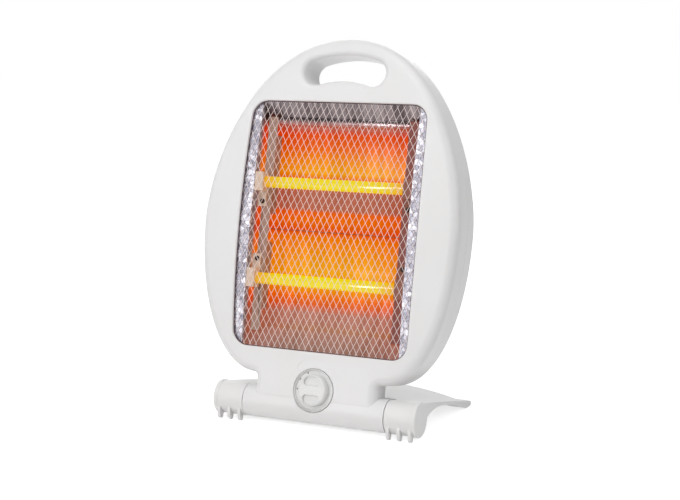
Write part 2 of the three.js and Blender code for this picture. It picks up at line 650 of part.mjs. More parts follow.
// One trough: a sloping strip from behind the window's edge, then a bowed floor to the middle ridge.
// up is 1 for the upper trough and -1 for the lower one.
function reflectorTrough(up) {
  const lipZ = up > 0 ? TROUGH_TOP_Z : TROUGH_BOTTOM_Z;
  const ridgeZ = RIDGE_Z + up * (SHEET + TOUCH / 2);
  const ridgeY = BRACKET.frontY + SHEET + TOUCH;
  const bowl = new THREE.CubicBezierCurve(
    new THREE.Vector2(TROUGH_LIP_Y, lipZ),
    new THREE.Vector2(TROUGH_FLOOR_Y + TROUGH_PULL.depth, lipZ - up * TROUGH_PULL.lip),
    new THREE.Vector2(TROUGH_FLOOR_Y + TROUGH_PULL.depth, ridgeZ + up * TROUGH_PULL.ridge),
    new THREE.Vector2(ridgeY, ridgeZ),
  );
  const stripZ = up > 0 ? WINDOW_TOP_Z : WINDOW_BOTTOM_Z;
  const line = [[STRIP_FRONT_Y, stripZ], ...bowl.getPoints(12).map((p) => [p.x, p.y])];
  const upwards = up > 0 ? line.reverse() : line;
  const half = REFLECTOR_HALF_WIDTH - TOUCH;
  return solid(profileYZ(sheetProfile(upwards, SHEET), -half, half));
}

function tubeBracket(side) {
  const x = ordered(side * BRACKET.inner, side * BRACKET.outer);
  const slope = (WINDOW_TOP_Z - TROUGH_TOP_Z) / (TROUGH_LIP_Y - STRIP_FRONT_Y);
  const top = TROUGH_TOP_Z + (TROUGH_LIP_Y - BRACKET.frontY - SHEET) * slope - 1;
  const bottom = TROUGH_BOTTOM_Z - (TROUGH_LIP_Y - BRACKET.frontY - SHEET) * slope + 1;
  const strip = box(...x, BRACKET.frontY, BRACKET.frontY + SHEET, bottom, top);
  const holes = Object.keys(TUBE_Z).map((name) => {
    const screw = holderScrewPlace(name, side);
    return rodY(-FAR, FAR, SMALL_SCREW.shank + TOUCH, screw.x, screw.z, SCREW_SIDES);
  });
  return without(strip, holes);
}

const holderScrewPlace = (name, side) => ({
  x: side * CERAMIC.screwX,
  z: TUBE_Z[name] + (name === "upper" ? -1 : 1) * CERAMIC.screwDrop,
});

function ceramicHolder(name, side) {
  const x = ordered(side * CERAMIC.inner, side * (REFLECTOR_HALF_WIDTH - TOUCH));
  const z = TUBE_Z[name];
  const backY = BRACKET.frontY - TOUCH;
  const tabZ = name === "upper" ? [z - CERAMIC.tab, z] : [z, z + CERAMIC.tab];
  const block = box(...x, TUBE_Y - CERAMIC.front, backY, z - CERAMIC.halfHeight, z + CERAMIC.halfHeight);
  const tab = box(...x, backY - CERAMIC.tabThickness, backY, ...tabZ);
  const socket = evenRodX(QUARTZ_HALF_LENGTH + TOUCH, QUARTZ_RADIUS + TOUCH, MIDDLE_SIDES);
  const pinHole = evenRodX(2 * FAR, TERMINAL.radius + TOUCH, SCREW_SIDES);
  const screw = holderScrewPlace(name, side);
  return without(block.add(tab), [
    socket.add(pinHole).translate([0, TUBE_Y, z]),
    rodY(-FAR, FAR, SMALL_SCREW.shank + TOUCH, screw.x, screw.z, SCREW_SIDES),
  ]);
}

function quartzTube(name) {
  const tube = evenRodX(QUARTZ_HALF_LENGTH, QUARTZ_RADIUS, MIDDLE_SIDES);
  const bore = evenRodX(QUARTZ_HALF_LENGTH + 1, QUARTZ_RADIUS - QUARTZ_WALL, MIDDLE_SIDES);
  return tube.subtract(bore).translate([0, TUBE_Y, TUBE_Z[name]]);
}

const heatingCore = (name) =>
  evenRodX(QUARTZ_HALF_LENGTH, CORE_RADIUS, SMALL_SIDES).translate([0, TUBE_Y, TUBE_Z[name]]);

function tubeTerminal(name, side) {
  const { radius, reach, tag, tagHalfWidth, tagHalfThickness } = TERMINAL;
  const pinX = ordered(side * (QUARTZ_HALF_LENGTH + TOUCH), side * reach);
  const tagX = ordered(side * (reach - tag), side * reach);
  return rodX(...pinX, radius, SCREW_SIDES)
    .add(box(...tagX, -tagHalfThickness, tagHalfThickness, -tagHalfWidth, tagHalfWidth))
    .translate([0, TUBE_Y, TUBE_Z[name]]);
}

function heatShield() {
  const y = TROUGH_FLOOR_Y + 2 * SHEET + TOUCH;
  const { halfWidth, bottom, top, lip } = SHIELD;
  const sheet = box(-halfWidth, halfWidth, y, y + SHEET, bottom, top);
  const lowerLip = box(-halfWidth, halfWidth, y, y + lip, bottom, bottom + SHEET);
  const upperLip = box(-halfWidth, halfWidth, y, y + lip, top - SHEET, top);
  return union([sheet, lowerLip, upperLip]);
}

const SHIELD_REAR_Y = TROUGH_FLOOR_Y + 3 * SHEET + TOUCH;

// ---------------------------------------------------------------- knob, dial and switches
const DIAL_FRONT_Y = faceY(0) + DIAL_SINK;
const DIAL_BACK_Y = Math.max(DIAL_FRONT_Y + DIAL_THICKNESS, FACE_INSIDE_Y + TOUCH + 1);

function dialPlate() {
  const flangeFront = FACE_INSIDE_Y + TOUCH;
  const rim = DIAL_HOLE_RADIUS - TOUCH;
  const rimFront = DIAL_FRONT_Y - DIAL_RIM.proud;
  const dishEdge = rim - DIAL_RIM.width;
  const disc = turnedY(
    [
      [rimFront, rim],
      [flangeFront, rim],
      [flangeFront, rim + DIAL_FLANGE],
      [DIAL_BACK_Y, rim + DIAL_FLANGE],
    ],
    0,
    KNOB_Z,
    LARGE_SIDES,
  );
  const dishProfile = [[-FAR, dishEdge], [rimFront, dishEdge], [DIAL_FRONT_Y, dishEdge - DIAL_RIM.slope]];
  const dish = turnedY(dishProfile, 0, KNOB_Z, LARGE_SIDES);
  return without(disc, [dish, rodY(-FAR, FAR, SHAFT.radius + TOUCH, 0, KNOB_Z)]);
}

const KNOB_FACE_Y = faceY(0) - KNOB_PROUD;

function controlKnob() {
  const back = DIAL_FRONT_Y - TOUCH;
  const body = turnedY(
    [
      [back, KNOB_RADIUS],
      [KNOB_FACE_Y + 1.6, KNOB_RADIUS - 0.3],
      [KNOB_FACE_Y + 0.5, KNOB_RADIUS - 0.8],
      [KNOB_FACE_Y, KNOB_RADIUS - 1.8],
    ],
    0,
    KNOB_Z,
    LARGE_SIDES,
  );
  const { halfWidth, height, depth, corner } = KNOB_HOLLOW;
  const hollows = mirrored((side) => {
    const near = KNOB_Z + side * KNOB_BAR;
    const far = KNOB_Z + side * (KNOB_BAR + height);
    const shape = new THREE.Shape();
    shape.moveTo(-halfWidth, near);
    shape.lineTo(halfWidth, near);
    shape.lineTo(halfWidth, far - side * corner);
    shape.quadraticCurveTo(halfWidth, far, halfWidth - corner, far);
    shape.lineTo(-halfWidth + corner, far);
    shape.quadraticCurveTo(-halfWidth, far, -halfWidth, far - side * corner);
    return plateXZ(shape, -FAR, KNOB_FACE_Y + depth, 3);
  });
  const socket = rodY(KNOB_FACE_Y + KNOB_SOCKET, 0, SHAFT.radius + TOUCH, 0, KNOB_Z);
  return without(body, [...hollows, socket]);
}

const SWITCH_FRONT_Y = DIAL_BACK_Y + TOUCH;
const switchShaft = () =>
  rodY(KNOB_FACE_Y + KNOB_SOCKET + TOUCH, SWITCH_FRONT_Y + SHAFT.intoSwitch, SHAFT.radius, 0, KNOB_Z);

const SWITCH_TAG_Y = SWITCH_FRONT_Y + SWITCH_BODY.depth / 2;

function rotarySwitch() {
  const { half, depth, tagRise, tagHalfWidth, tagPitch } = SWITCH_BODY;
  const rear = SWITCH_FRONT_Y + depth;
  const top = KNOB_Z + half;
  const body = box(-half, half, SWITCH_FRONT_Y, rear, KNOB_Z - half, top);
  const tag = box(-tagHalfWidth, tagHalfWidth, SWITCH_TAG_Y, SWITCH_TAG_Y + SHEET, top - 1, top + tagRise);
  const tags = [-1, 0, 1].map((i) => tag.translate([i * tagPitch, 0, 0]));
  const bore = rodY(-FAR, SWITCH_FRONT_Y + SHAFT.intoSwitch + TOUCH, SHAFT.radius + TOUCH, 0, KNOB_Z);
  return union([body, ...tags]).subtract(bore);
}

function tipSwitchBody() {
  const { x, pinY, pinZ, halfWidth, cheek, back, crown, drop, nose } = TIP_SWITCH;
  const low = pinZ - PENDULUM.length - PENDULUM.radius;
  const rear = NECK_REAR_Y - WALL - TOUCH;
  const plate = box(x - halfWidth, x + halfWidth, back, rear, low, pinZ + crown);
  const cheeks = mirrored((side) => {
    const cheekX = ordered(x + side * halfWidth, x + side * (halfWidth - cheek));
    return box(...cheekX, pinY - nose, rear, pinZ - drop, pinZ + crown);
  });
  const pin = rodX(x - halfWidth, x + halfWidth, PENDULUM.pin, SCREW_SIDES).translate([0, pinY, pinZ]);
  return union([plate, ...cheeks, pin]);
}

function tipSwitchWeight() {
  const { length, radius, thickness, eye, pin, armHalf, armDepth } = PENDULUM;
  const arm = box(-armHalf, armHalf, -armDepth, armDepth, -length, 0);
  const bob = evenRodX(thickness / 2, radius, SMALL_SIDES).translate([0, 0, -length]);
  const eyelet = evenRodX(armHalf, eye, SMALL_SIDES);
  return union([eyelet, arm, bob]).subtract(evenRodX(FAR, pin + TOUCH, SCREW_SIDES));
}

// ---------------------------------------------------------------- screws, small parts and leads
// A pan-head screw seated at y. Its head lies behind y for towards 1 and in front of it for towards -1.
function screwY({ head, headHeight, shank, length }, x, y, z, towards = 1) {
  const stations = [[-length, shank], [0, shank], [0, head], [headHeight, head * 0.8]];
  return turnedY(stations.map(([depth, radius]) => [y + towards * depth, radius]), x, z, SCREW_SIDES);
}

const thermalCutout = () =>
  turnedY(
    [
      [SHIELD_REAR_Y + TOUCH, CUTOUT.radius],
      [SHIELD_REAR_Y + TOUCH + CUTOUT.height * 0.6, CUTOUT.radius],
      [SHIELD_REAR_Y + TOUCH + CUTOUT.height, CUTOUT.radius * 0.7],
    ],
    CUTOUT.x,
    CUTOUT.z,
    MIDDLE_SIDES,
  );

function terminalBlock() {
  const { x, z, width, height, depth } = BLOCK;
  const { radius, pitch } = BLOCK_WELL;
  const rear = REAR_Y - WALL - TOUCH;
  const body = box(x - width / 2, x + width / 2, rear - depth, rear, z - height / 2, z + height / 2);
  const wellEnd = rear - depth + BLOCK_WELL.depth;
  const wells = [-1, 0, 1].map((i) => rodY(-FAR, wellEnd, radius, x + i * pitch, z, SCREW_SIDES));
  return without(body, wells);
}

function cordGland() {
  const { z, radius, bore, lip, lipHeight, length } = GLAND;
  const front = REAR_Y + lipHeight - length;
  const body = turnedY(
    [
      [front, radius],
      [REAR_Y + TOUCH, radius],
      [REAR_Y + TOUCH, lip],
      [REAR_Y + lipHeight, lip - 1],
    ],
    0,
    z,
    MIDDLE_SIDES,
  );
  return body.subtract(rodY(front - 1, REAR_Y + lipHeight + 1, bore, 0, z, SMALL_SIDES));
}

// An insulated lead along a smooth route, in the head's frame
function lead(route) {
  const path = new THREE.CatmullRomCurve3(route.map((p) => new THREE.Vector3(...p)), false, "centripetal");
  const ring = arc(0, 0, LEAD_RADIUS, 0, 360, LEAD_SIDES).slice(1);
  const section = new THREE.Shape(ring.map((p) => new THREE.Vector2(...p)));
  return solid(new THREE.ExtrudeGeometry(section, { steps: LEAD_STEPS, extrudePath: path }));
}

// From a tube's terminal down behind the side flange and across: on the left to the terminal block,
// on the right to a tag of the rotary switch
function leadRoute(name, side) {
  const { straight, drop, low, step } = LEAD;
  const shift = name === "upper" ? LEAD_PITCH / 2 : -LEAD_PITCH / 2;
  const startX = TERMINAL.reach + TOUCH;
  const sideX = REFLECTOR_HALF_WIDTH + LEAD.side + shift;
  const bandY = NECK_REAR_Y + shift;
  const down = [
    [side * startX, TUBE_Y, TUBE_Z[name]],
    [side * (startX + straight), TUBE_Y, TUBE_Z[name]],
    [side * sideX, NECK_REAR_Y - 1, TUBE_Z[name] - drop],
    [side * sideX, bandY, WINDOW_BOTTOM_Z + low],
    [side * REFLECTOR_HALF_WIDTH, bandY + 1 + shift / 2, BLOCK.z + step - 1 + shift],
    [side * (REFLECTOR_HALF_WIDTH - drop), bandY + 2, BLOCK.z - 1 + shift],
  ];
  if (side < 0) {
    const endX = BLOCK.x - BLOCK.width / 2 - TOUCH;
    const y = REAR_Y - BLOCK.depth + 1;
    return [...down, [endX - step, y, BLOCK.z + shift], [endX, y, BLOCK.z + shift]];
  }
  const tagX = name === "upper" ? 0 : SWITCH_BODY.tagPitch;
  const tagTop = KNOB_Z + SWITCH_BODY.half + SWITCH_BODY.tagRise + TOUCH;
  return [
    ...down,
    [TIP_SWITCH.x - 2 * LEAD_PITCH, bandY - LEAD_PITCH / 2, BLOCK.z - step - 1 + shift],
    [tagX + straight, SWITCH_TAG_Y + straight, tagTop + step + 1 + shift],
    [tagX, SWITCH_TAG_Y, tagTop + straight],
    [tagX, SWITCH_TAG_Y, tagTop],
  ];
}

// ---------------------------------------------------------------- stand
function standPlate() {
  const tipX = STAND_REACH - STAND_TIP_THICKNESS / 2;
  const floor = -AXIS_HEIGHT;
  const tipTop = floor + STAND_TIP_THICKNESS;
  const upper = new THREE.QuadraticBezierCurve(
    new THREE.Vector2(0, TUBE_RADIUS - TOUCH),
    new THREE.Vector2(STAND_REACH / 2, tipTop + TUBE_RADIUS),
    new THREE.Vector2(tipX, tipTop),
  );
  const lower = new THREE.CubicBezierCurve(
    new THREE.Vector2(tipX - STAND_PAD, floor),
    new THREE.Vector2(STAND_REACH * 0.59, -STAND_HOLLOW.low),
    new THREE.Vector2(STAND_REACH * 0.28, STAND_HOLLOW.rise),
    new THREE.Vector2(TUBE_RADIUS * 0.75, -STAND_HOLLOW.low),
  );
  const tip = arc(tipX, floor + STAND_TIP_THICKNESS / 2, STAND_TIP_THICKNESS / 2, 90, -90, 3);
  const points = [
    ...upper.getPoints(5).slice(0, -1).map((p) => [p.x, p.y]),
    ...tip,
    ...lower.getPoints(8).map((p) => [p.x, p.y]),
    [0, -STAND_HOLLOW.low],
  ];
  const geometry = profileYZ(points, -STAND_HALF_WIDTH, STAND_HALF_WIDTH, STAND_STEPS);
  const place = geometry.attributes.position;
  for (let i = 0; i < place.count; i++) {
    const across = Math.max(0, 1 - (place.getX(i) / STAND_CROWN_HALF_WIDTH) ** 2);
    const along = Math.max(0, (place.getY(i) - STAND_VALLEY_RADIUS) / (STAND_REACH - STAND_VALLEY_RADIUS));
    place.setZ(i, place.getZ(i) + STAND_CROWN * across * along);
    place.setY(i, place.getY(i) + STAND_REAR_BOW * across * along ** 2);
  }
  return solid(geometry);
}

function cornerCutter(side) {
  const cx = side * (STAND_HALF_WIDTH - STAND_CORNER);
  const cy = STAND_REACH - STAND_CORNER;
  const square = box(...ordered(cx, side * 2 * FAR), cy, 3 * FAR, -FAR, FAR);
  const post = new THREE.CylinderGeometry(STAND_CORNER, STAND_CORNER, 2.2 * FAR, LARGE_SIDES);
  return square.subtract(solid(post.rotateX(Math.PI / 2).translate(cx, cy, 0)));
}

function endCap(side) {
  const inner = TUBE_HALF_LENGTH + CAP_GAP;
  const { radius, thickness, edge } = CAP_DISC;
  const disc = CAP_END_X - thickness;
  const stations = [
    [inner, TUBE_RADIUS],
    [disc, TUBE_RADIUS],
    [disc + edge / 2, radius],
    [CAP_END_X - edge, radius],
    [CAP_END_X, radius - edge],
  ].map(([x, r]) => [side * x, r]);
  return turnedX(stations, LARGE_SIDES);
}

// A claw-like toe: it grows out of the cap's front and ends in a small flat on the floor
function toe(x) {
  const floor = -AXIS_HEIGHT;
  const { front, rear, thickness } = TOE;
  const points = [
    [-front + 1.2, -5],
    [-front, -10],
    [-front + 0.4, floor + 3],
    [-front + 1.8, floor + 0.8],
    [-front + 3, floor],
    [-rear - 3.6, floor],
    [-rear - 2.6, floor + 0.8],
    [-rear - 1.4, floor + 3],
    [-rear - 0.6, -13],
    [-rear, -8],
  ];
  return solid(profileYZ(points, x - thickness / 2, x + thickness / 2));
}

function rib(x) {
  const { thickness, start, end, top, foot, tail } = STAND_RIB;
  const points = [[start, -foot], [start, top], [end, -tail], [end, -tail - foot]];
  return solid(profileYZ(points, x - thickness / 2, x + thickness / 2));
}

function stand() {
  const inner = TUBE_HALF_LENGTH + CAP_GAP;
  const valley = evenRodX(inner, STAND_VALLEY_RADIUS, LARGE_SIDES);
  const plate = without(standPlate(), [valley, ...mirrored(cornerCutter)]);
  const caps = mirrored(endCap);
  const hollows = mirrored((side) =>
    rodX(side * (inner - 1), side * (CAP_END_X - CAP_DISC.thickness), TUBE_RADIUS - CAP_WALL, LARGE_SIDES),
  );
  const hubs = mirrored((side) => rodX(side * HUB_INNER_X, side * (CAP_END_X - CAP_DISC.edge), HUB_RADIUS));
  const boreEnd = HUB_INNER_X + PIVOT_SCREW.length;
  const screwBores = mirrored((side) =>
    rodX(side * (HUB_INNER_X - 1), side * boreEnd, PIVOT_SCREW.shank + TOUCH, SMALL_SIDES),
  );
  const toes = mirrored((side) => [-1, 0, 1].map((i) => toe(side * (TOE.middleX + i * TOE.pitch)))).flat();
  const ribs = mirrored((side) => rib(side * STAND_RIB.x));
  const shell = without(union([plate, ...caps, ...toes, ...ribs]), hollows);
  return without(union([shell, ...hubs]), screwBores);
}

// ---------------------------------------------------------------- hinge hardware, on the head side
function pivotBush(side) {
  const outer = HUB_RADIUS + RUNNING + BUSH_WALL;
  const wallInside = TUBE_HALF_LENGTH - TUBE_END_WALL - TOUCH;
  const { width, thickness } = BUSH_FLANGE;
  const stations = [
    [wallInside - thickness, outer + width],
    [wallInside, outer + width],
    [wallInside, outer],
    [TUBE_HALF_LENGTH - TOUCH, outer],
  ].map(([x, radius]) => [side * x, radius]);
  return turnedX(stations).subtract(evenRodX(2 * FAR, HUB_RADIUS + RUNNING));
}

// Washer and screw turn with the hub and keep the bush on it
function pivotWasher(side) {
  const outer = HUB_INNER_X - TOUCH;
  const disc = rodX(side * (outer - WASHER.thickness), side * outer, WASHER.radius);
  return disc.subtract(evenRodX(2 * FAR, PIVOT_SCREW.shank + TOUCH, SMALL_SIDES));
}

function pivotScrew(side) {
  const { head, headHeight, shank, length } = PIVOT_SCREW;
  const seat = HUB_INNER_X - 2 * TOUCH - WASHER.thickness;
  const stations = [[seat - headHeight, head * 0.85], [seat, head], [seat, shank], [seat + length, shank]];
  return turnedX(stations.map(([x, radius]) => [side * x, radius]), SMALL_SIDES);
}

// ---------------------------------------------------------------- assembly
const heater = new THREE.Group();
const base = new THREE.Group();
const head = new THREE.Group();
head.rotation.x = -HEAD_LEAN;
heater.add(base, head);

piece(base, "stand", plastic(whitePlastic), stand());

piece(head, "front_cover", plastic(whitePlastic), frontCover());
piece(head, "rear_cover", plastic(whitePlastic), rearCover());
piece(head, "front_grille", plastic("#efe9e8"), frontGrille());
piece(head, "reflector_upper", metal(aluminium, 0.12), reflectorTrough(1));
piece(head, "reflector_lower", metal(aluminium, 0.12), reflectorTrough(-1));
piece(head, "heat_shield", metal(zincSteel, 0.4), heatShield());
piece(head, "dial_plate", plastic(whitePlastic), dialPlate());
piece(head, "control_knob", plastic("#ececec"), controlKnob());
piece(head, "switch_shaft", plastic("#d8d4c8"), switchShaft());
piece(head, "rotary_switch", plastic("#3b3a38"), rotarySwitch());
piece(head, "tip_switch_body", plastic("#d9d6cf"), tipSwitchBody());
piece(head, "thermal_cutout", metal(steel, 0.35), thermalCutout());
piece(head, "terminal_block", plastic("#dcd8d0"), terminalBlock());
piece(head, "cord_gland", plastic("#dedede"), cordGland());

// The pendulum hangs plumb whatever the head's lean
const weight = piece(head, "tip_switch_weight", metal(steel, 0.4), tipSwitchWeight());
weight.position.set(TIP_SWITCH.x, TIP_SWITCH.pinY, TIP_SWITCH.pinZ);
weight.rotation.x = HEAD_LEAN;

for (const [side, hand] of [[-1, "left"], [1, "right"]]) {
  piece(head, `reflector_side_${hand}`, metal(aluminium, 0.3), reflectorSide(side));
  piece(head, `tube_bracket_${hand}`, metal(zincSteel, 0.4), tubeBracket(side));
  piece(head, `pivot_bush_${hand}`, plastic("#e9e7df"), pivotBush(side));
  piece(base, `pivot_washer_${hand}`, metal(steel, 0.35), pivotWasher(side));
  piece(base, `pivot_screw_${hand}`, metal(steel, 0.35), pivotScrew(side));
  for (const [i, z] of EAR.z.entries()) {
    const place = [side * EAR.x, earY(z) + SHEET + TOUCH, z];
    piece(head, `reflector_screw_${hand}_${i + 1}`, metal(steel, 0.35), screwY(SMALL_SCREW, ...place));
  }
  for (const [i, post] of COVER_POSTS.entries()) {
    const place = [side * post.x, POST.seatY + TOUCH, post.z];
    piece(head, `cover_screw_${hand}_${i + 1}`, metal(steel, 0.35), screwY(COVER_SCREW, ...place));
  }
}

for (const name of ["upper", "lower"]) {
  const glass = new THREE.MeshStandardMaterial({ color: "#ffd800", roughness: 0.2, metalness: 0 });
  piece(head, `quartz_tube_${name}`, glass, quartzTube(name));
  piece(head, `heating_core_${name}`, plastic("#ffb000"), heatingCore(name));
  for (const [side, hand] of [[-1, "left"], [1, "right"]]) {
    const screw = holderScrewPlace(name, side);
    piece(head, `ceramic_holder_${name}_${hand}`, plastic(ceramicBeige), ceramicHolder(name, side));
    piece(head, `tube_terminal_${name}_${hand}`, metal(steel, 0.35), tubeTerminal(name, side));
    const seatY = BRACKET.frontY - 2 * TOUCH - CERAMIC.tabThickness;
    const holderScrew = screwY(SMALL_SCREW, screw.x, seatY, screw.z, -1);
    piece(head, `holder_screw_${name}_${hand}`, metal(zincSteel, 0.4), holderScrew);
    piece(head, `lead_${name}_${hand}`, plastic("#ece8e0"), lead(leadRoute(name, side)));
  }
}

// The origin is the middle of the footprint, on the floor
const bounds = new THREE.Box3().setFromObject(heater, true);
const middle = bounds.getCenter(new THREE.Vector3());
heater.position.set(-middle.x, -middle.y, -bounds.min.z);

export default heater;
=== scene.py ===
# %% [markdown]
# # A two-bar quartz heater
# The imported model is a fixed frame: its pieces already stand at their real size and place, in metres.
# Everything below dresses that frame. Moulded shells, the fine mesh, the bright reflectors and the knob
# are modelled again with more detail, and the small parts inside keep their shape and get a real finish.

# %% Load the frame
import json
import math

import bmesh
import bpy
from mathutils import Matrix, Vector
from mathutils.geometry import interpolate_bezier


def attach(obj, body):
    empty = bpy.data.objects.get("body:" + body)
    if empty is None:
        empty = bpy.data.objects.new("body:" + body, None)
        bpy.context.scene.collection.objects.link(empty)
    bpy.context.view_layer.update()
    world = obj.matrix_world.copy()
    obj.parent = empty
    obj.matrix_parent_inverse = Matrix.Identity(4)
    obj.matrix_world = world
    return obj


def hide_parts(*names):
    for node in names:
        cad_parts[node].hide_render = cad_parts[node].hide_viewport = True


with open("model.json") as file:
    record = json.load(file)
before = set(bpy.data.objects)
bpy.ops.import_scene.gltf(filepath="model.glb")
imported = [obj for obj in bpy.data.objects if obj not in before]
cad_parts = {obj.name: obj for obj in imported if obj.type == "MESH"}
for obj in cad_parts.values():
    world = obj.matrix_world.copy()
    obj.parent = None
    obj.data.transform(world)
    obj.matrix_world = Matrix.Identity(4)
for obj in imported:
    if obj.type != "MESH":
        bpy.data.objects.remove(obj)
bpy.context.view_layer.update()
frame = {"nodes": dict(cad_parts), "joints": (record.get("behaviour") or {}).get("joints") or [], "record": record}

# %% [markdown]
# ## Two frames of reference
# The head leans back on its hinge, so it is easiest to model upright and in millimetres, with the hinge
# axis as its X axis, and to lean it back at the end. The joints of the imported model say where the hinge
# lies and how far the head leans, so no number is typed twice.

# %% The head's frame and the foot's frame
MM = 0.001
joints = {joint["name"]: joint for joint in frame["joints"]}
HINGE = Vector(joints["head_tilt"]["pos_m"])
knob_axis = joints["knob_turn"]["axis"]
LEAN = math.atan2(knob_axis[2], -knob_axis[1])
HEAD = Matrix.Translation(HINGE) @ Matrix.Rotation(-LEAN, 4, "X") @ Matrix.Scale(MM, 4)
FOOT = Matrix.Translation(HINGE) @ Matrix.Scale(MM, 4)
AXIS_HEIGHT = HINGE.z / MM


def corners(node, place=HEAD):
    """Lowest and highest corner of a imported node, in millimetres, in the head's or the foot's frame."""
    back = place.inverted()
    points = [back @ v.co for v in frame["nodes"][node].data.vertices]
    low = Vector([min(p[i] for p in points) for i in range(3)])
    high = Vector([max(p[i] for p in points) for i in range(3)])
    return low, high


print("the head leans back by", round(math.degrees(LEAN), 2), "degrees")

# %% [markdown]
# ## Camera
# The camera stands a little to the right of the heater and just above it, with a long lens, so that the
# front, the right side and the top edge of the tube at the foot all show.

# %% Camera
AZIMUTH = math.radians(24.84)
ELEVATION = math.radians(8.66)
ROLL = math.radians(0.316)
DISTANCE = 1.38004
LENS_PER_PIXEL = 36 / 680
FOCAL_PIXELS = 1464.62
AIM = HINGE + Vector((22.37, 0, 155.2)) * MM


def direction(azimuth, elevation):
    """From the heater towards a place round it. Azimuth 0 is the front."""
    flat = math.cos(elevation)
    return Vector((math.sin(azimuth) * flat, -math.cos(azimuth) * flat, math.sin(elevation)))


back = direction(AZIMUTH, ELEVATION)
level = Vector((math.cos(AZIMUTH), math.sin(AZIMUTH), 0))
upright = back.cross(level)
right = level * math.cos(ROLL) + upright * math.sin(ROLL)
up = upright * math.cos(ROLL) - level * math.sin(ROLL)
camera = bpy.data.objects.new("camera", bpy.data.cameras.new("camera"))
camera.data.lens = FOCAL_PIXELS * LENS_PER_PIXEL
turned_to_aim = Matrix((right, up, back)).transposed().to_4x4()
camera.matrix_world = Matrix.Translation(AIM + back * DISTANCE) @ turned_to_aim
bpy.context.scene.collection.objects.link(camera)
bpy.context.scene.camera = camera
print("camera stands at", camera.location)

# %% [markdown]
# ## Helpers for materials
# A material is a small tree of nodes. One function adds a node, sets it up and links it, whatever its
# kind, so that each material below reads as a list of what it is made of. Colours are written the way a
# colour picker shows them, in sRGB, and one function makes them linear, as the renderer needs. Patterns
# are given the real size of one patch, grain or dent, in millimetres.


# %% Colours and nodes
def linear(code):
    """An sRGB hex colour as the linear values that the renderer works in."""
    shares = [int(code[i : i + 2], 16) / 255 for i in (1, 3, 5)]
    return (*[s / 12.92 if s <= 0.04045 else ((s + 0.055) / 1.055) ** 2.4 for s in shares], 1.0)


def every(size):
    """The scale of a pattern that repeats about once in so many millimetres."""
    return 1 / (size * MM)


def add(tree, kind, settings=None, **inputs):
    """Add a node with its own settings. Each input is a constant, a socket, or a node that stands for
    its first output. It is called by its name, or by its number, as i0, where two have one name."""
    node = tree.nodes.new("ShaderNode" + kind)
    for name, value in (settings or {}).items():
        setattr(node, name, value)
    for name, value in inputs.items():
        socket = node.inputs[int(name[1:]) if name[1:].isdigit() else name.replace("_", " ")]
        if isinstance(value, bpy.types.Node):
            value = value.outputs[0]
        if isinstance(value, bpy.types.NodeSocket):
            tree.links.new(value, socket)
        else:
            socket.default_value = value
    return node


def material(name):
    """A new material with an empty tree, the tree, and the object's coordinates."""
    made = bpy.data.materials.new(name)
    made.use_nodes = True
    made.node_tree.nodes.clear()
    return made, made.node_tree, add(made.node_tree, "TexCoord").outputs["Object"]


def ramp(tree, factor, stops):
    """A colour ramp from [position, hex colour] stops."""
    node = add(tree, "ValToRGB", Fac=factor)
    for _ in stops[2:]:
        node.color_ramp.elements.new(0.5)
    for element, (position, code) in zip(node.color_ramp.elements, stops):
        element.position = position
        element.color = linear(code)
    return node


def head_place(tree, place):
    """The place on the upright head in millimetres: whole, split in three, and how far off the middle."""
    shift = -(Matrix.Rotation(LEAN, 3, "X") @ HINGE) / MM
    whole = add(tree, "Mapping", Vector=place, Location=shift, Rotation=(LEAN, 0, 0), Scale=(1 / MM,) * 3)
    split = add(tree, "SeparateXYZ", Vector=whole)
    return whole, split, add(tree, "Math", {"operation": "ABSOLUTE"}, i0=split)


MULTIPLY = {"blend_type": "MULTIPLY"}

# %% [markdown]
# ## Moulded plastic
# The shells, the foot and the knob are injection-moulded white ABS. It is a semi-gloss plastic: the
# mould's fine spark-eroded grain softens its highlights, and slow changes of wall thickness leave faint
# waves in them. A clean mould leaves almost no change of colour, so the colour only drifts a little.
# The grain is drawn 0.9 mm wide, which is coarser than the real one, so that it shows in a render.


# %% Moulded ABS
def moulded_abs(name, code, darker, roughness=0.36):
    made, tree, place = material(name)
    drift = add(tree, "TexNoise", Vector=place, Scale=every(71.4), Detail=2.0)
    grain = add(tree, "TexNoise", Vector=place, Scale=every(0.9), Detail=3.0, Roughness=0.6)
    wave = add(tree, "TexNoise", Vector=place, Scale=every(38.5), Detail=1.0)
    colour = ramp(tree, drift, [(0.35, darker), (0.65, code)])
    gloss = add(tree, "MapRange", Value=grain, To_Min=roughness - 0.05, To_Max=roughness + 0.05)
    skin = add(tree, "Bump", Height=grain, Distance=0.02 * MM, Strength=0.35)
    slow = add(tree, "Bump", Height=wave, Distance=0.2 * MM, Strength=0.25, Normal=skin)
    shader = add(tree, "BsdfPrincipled", Base_Color=colour, Roughness=gloss, IOR=1.52, Normal=slow)
    add(tree, "OutputMaterial", Surface=shader)
    return made


housing_abs = moulded_abs("white_moulded_abs", "#E9E8E8", "#E6E5E4")
foot_abs = moulded_abs("white_moulded_foot_abs", "#E9E8E7", "#E5E4E3", 0.4)
knob_abs = moulded_abs("white_gloss_knob_abs", "#E2E2E1", "#DFDEDD", 0.28)
inner_plastic = moulded_abs("natural_nylon", "#DDD9CE", "#D6D1C4", 0.5)
switch_phenolic = moulded_abs("dark_phenolic", "#3B3A38", "#302F2D", 0.55)
mark_ink = moulded_abs("grey_printing_ink", "#5E5D5C", "#565554", 0.6)
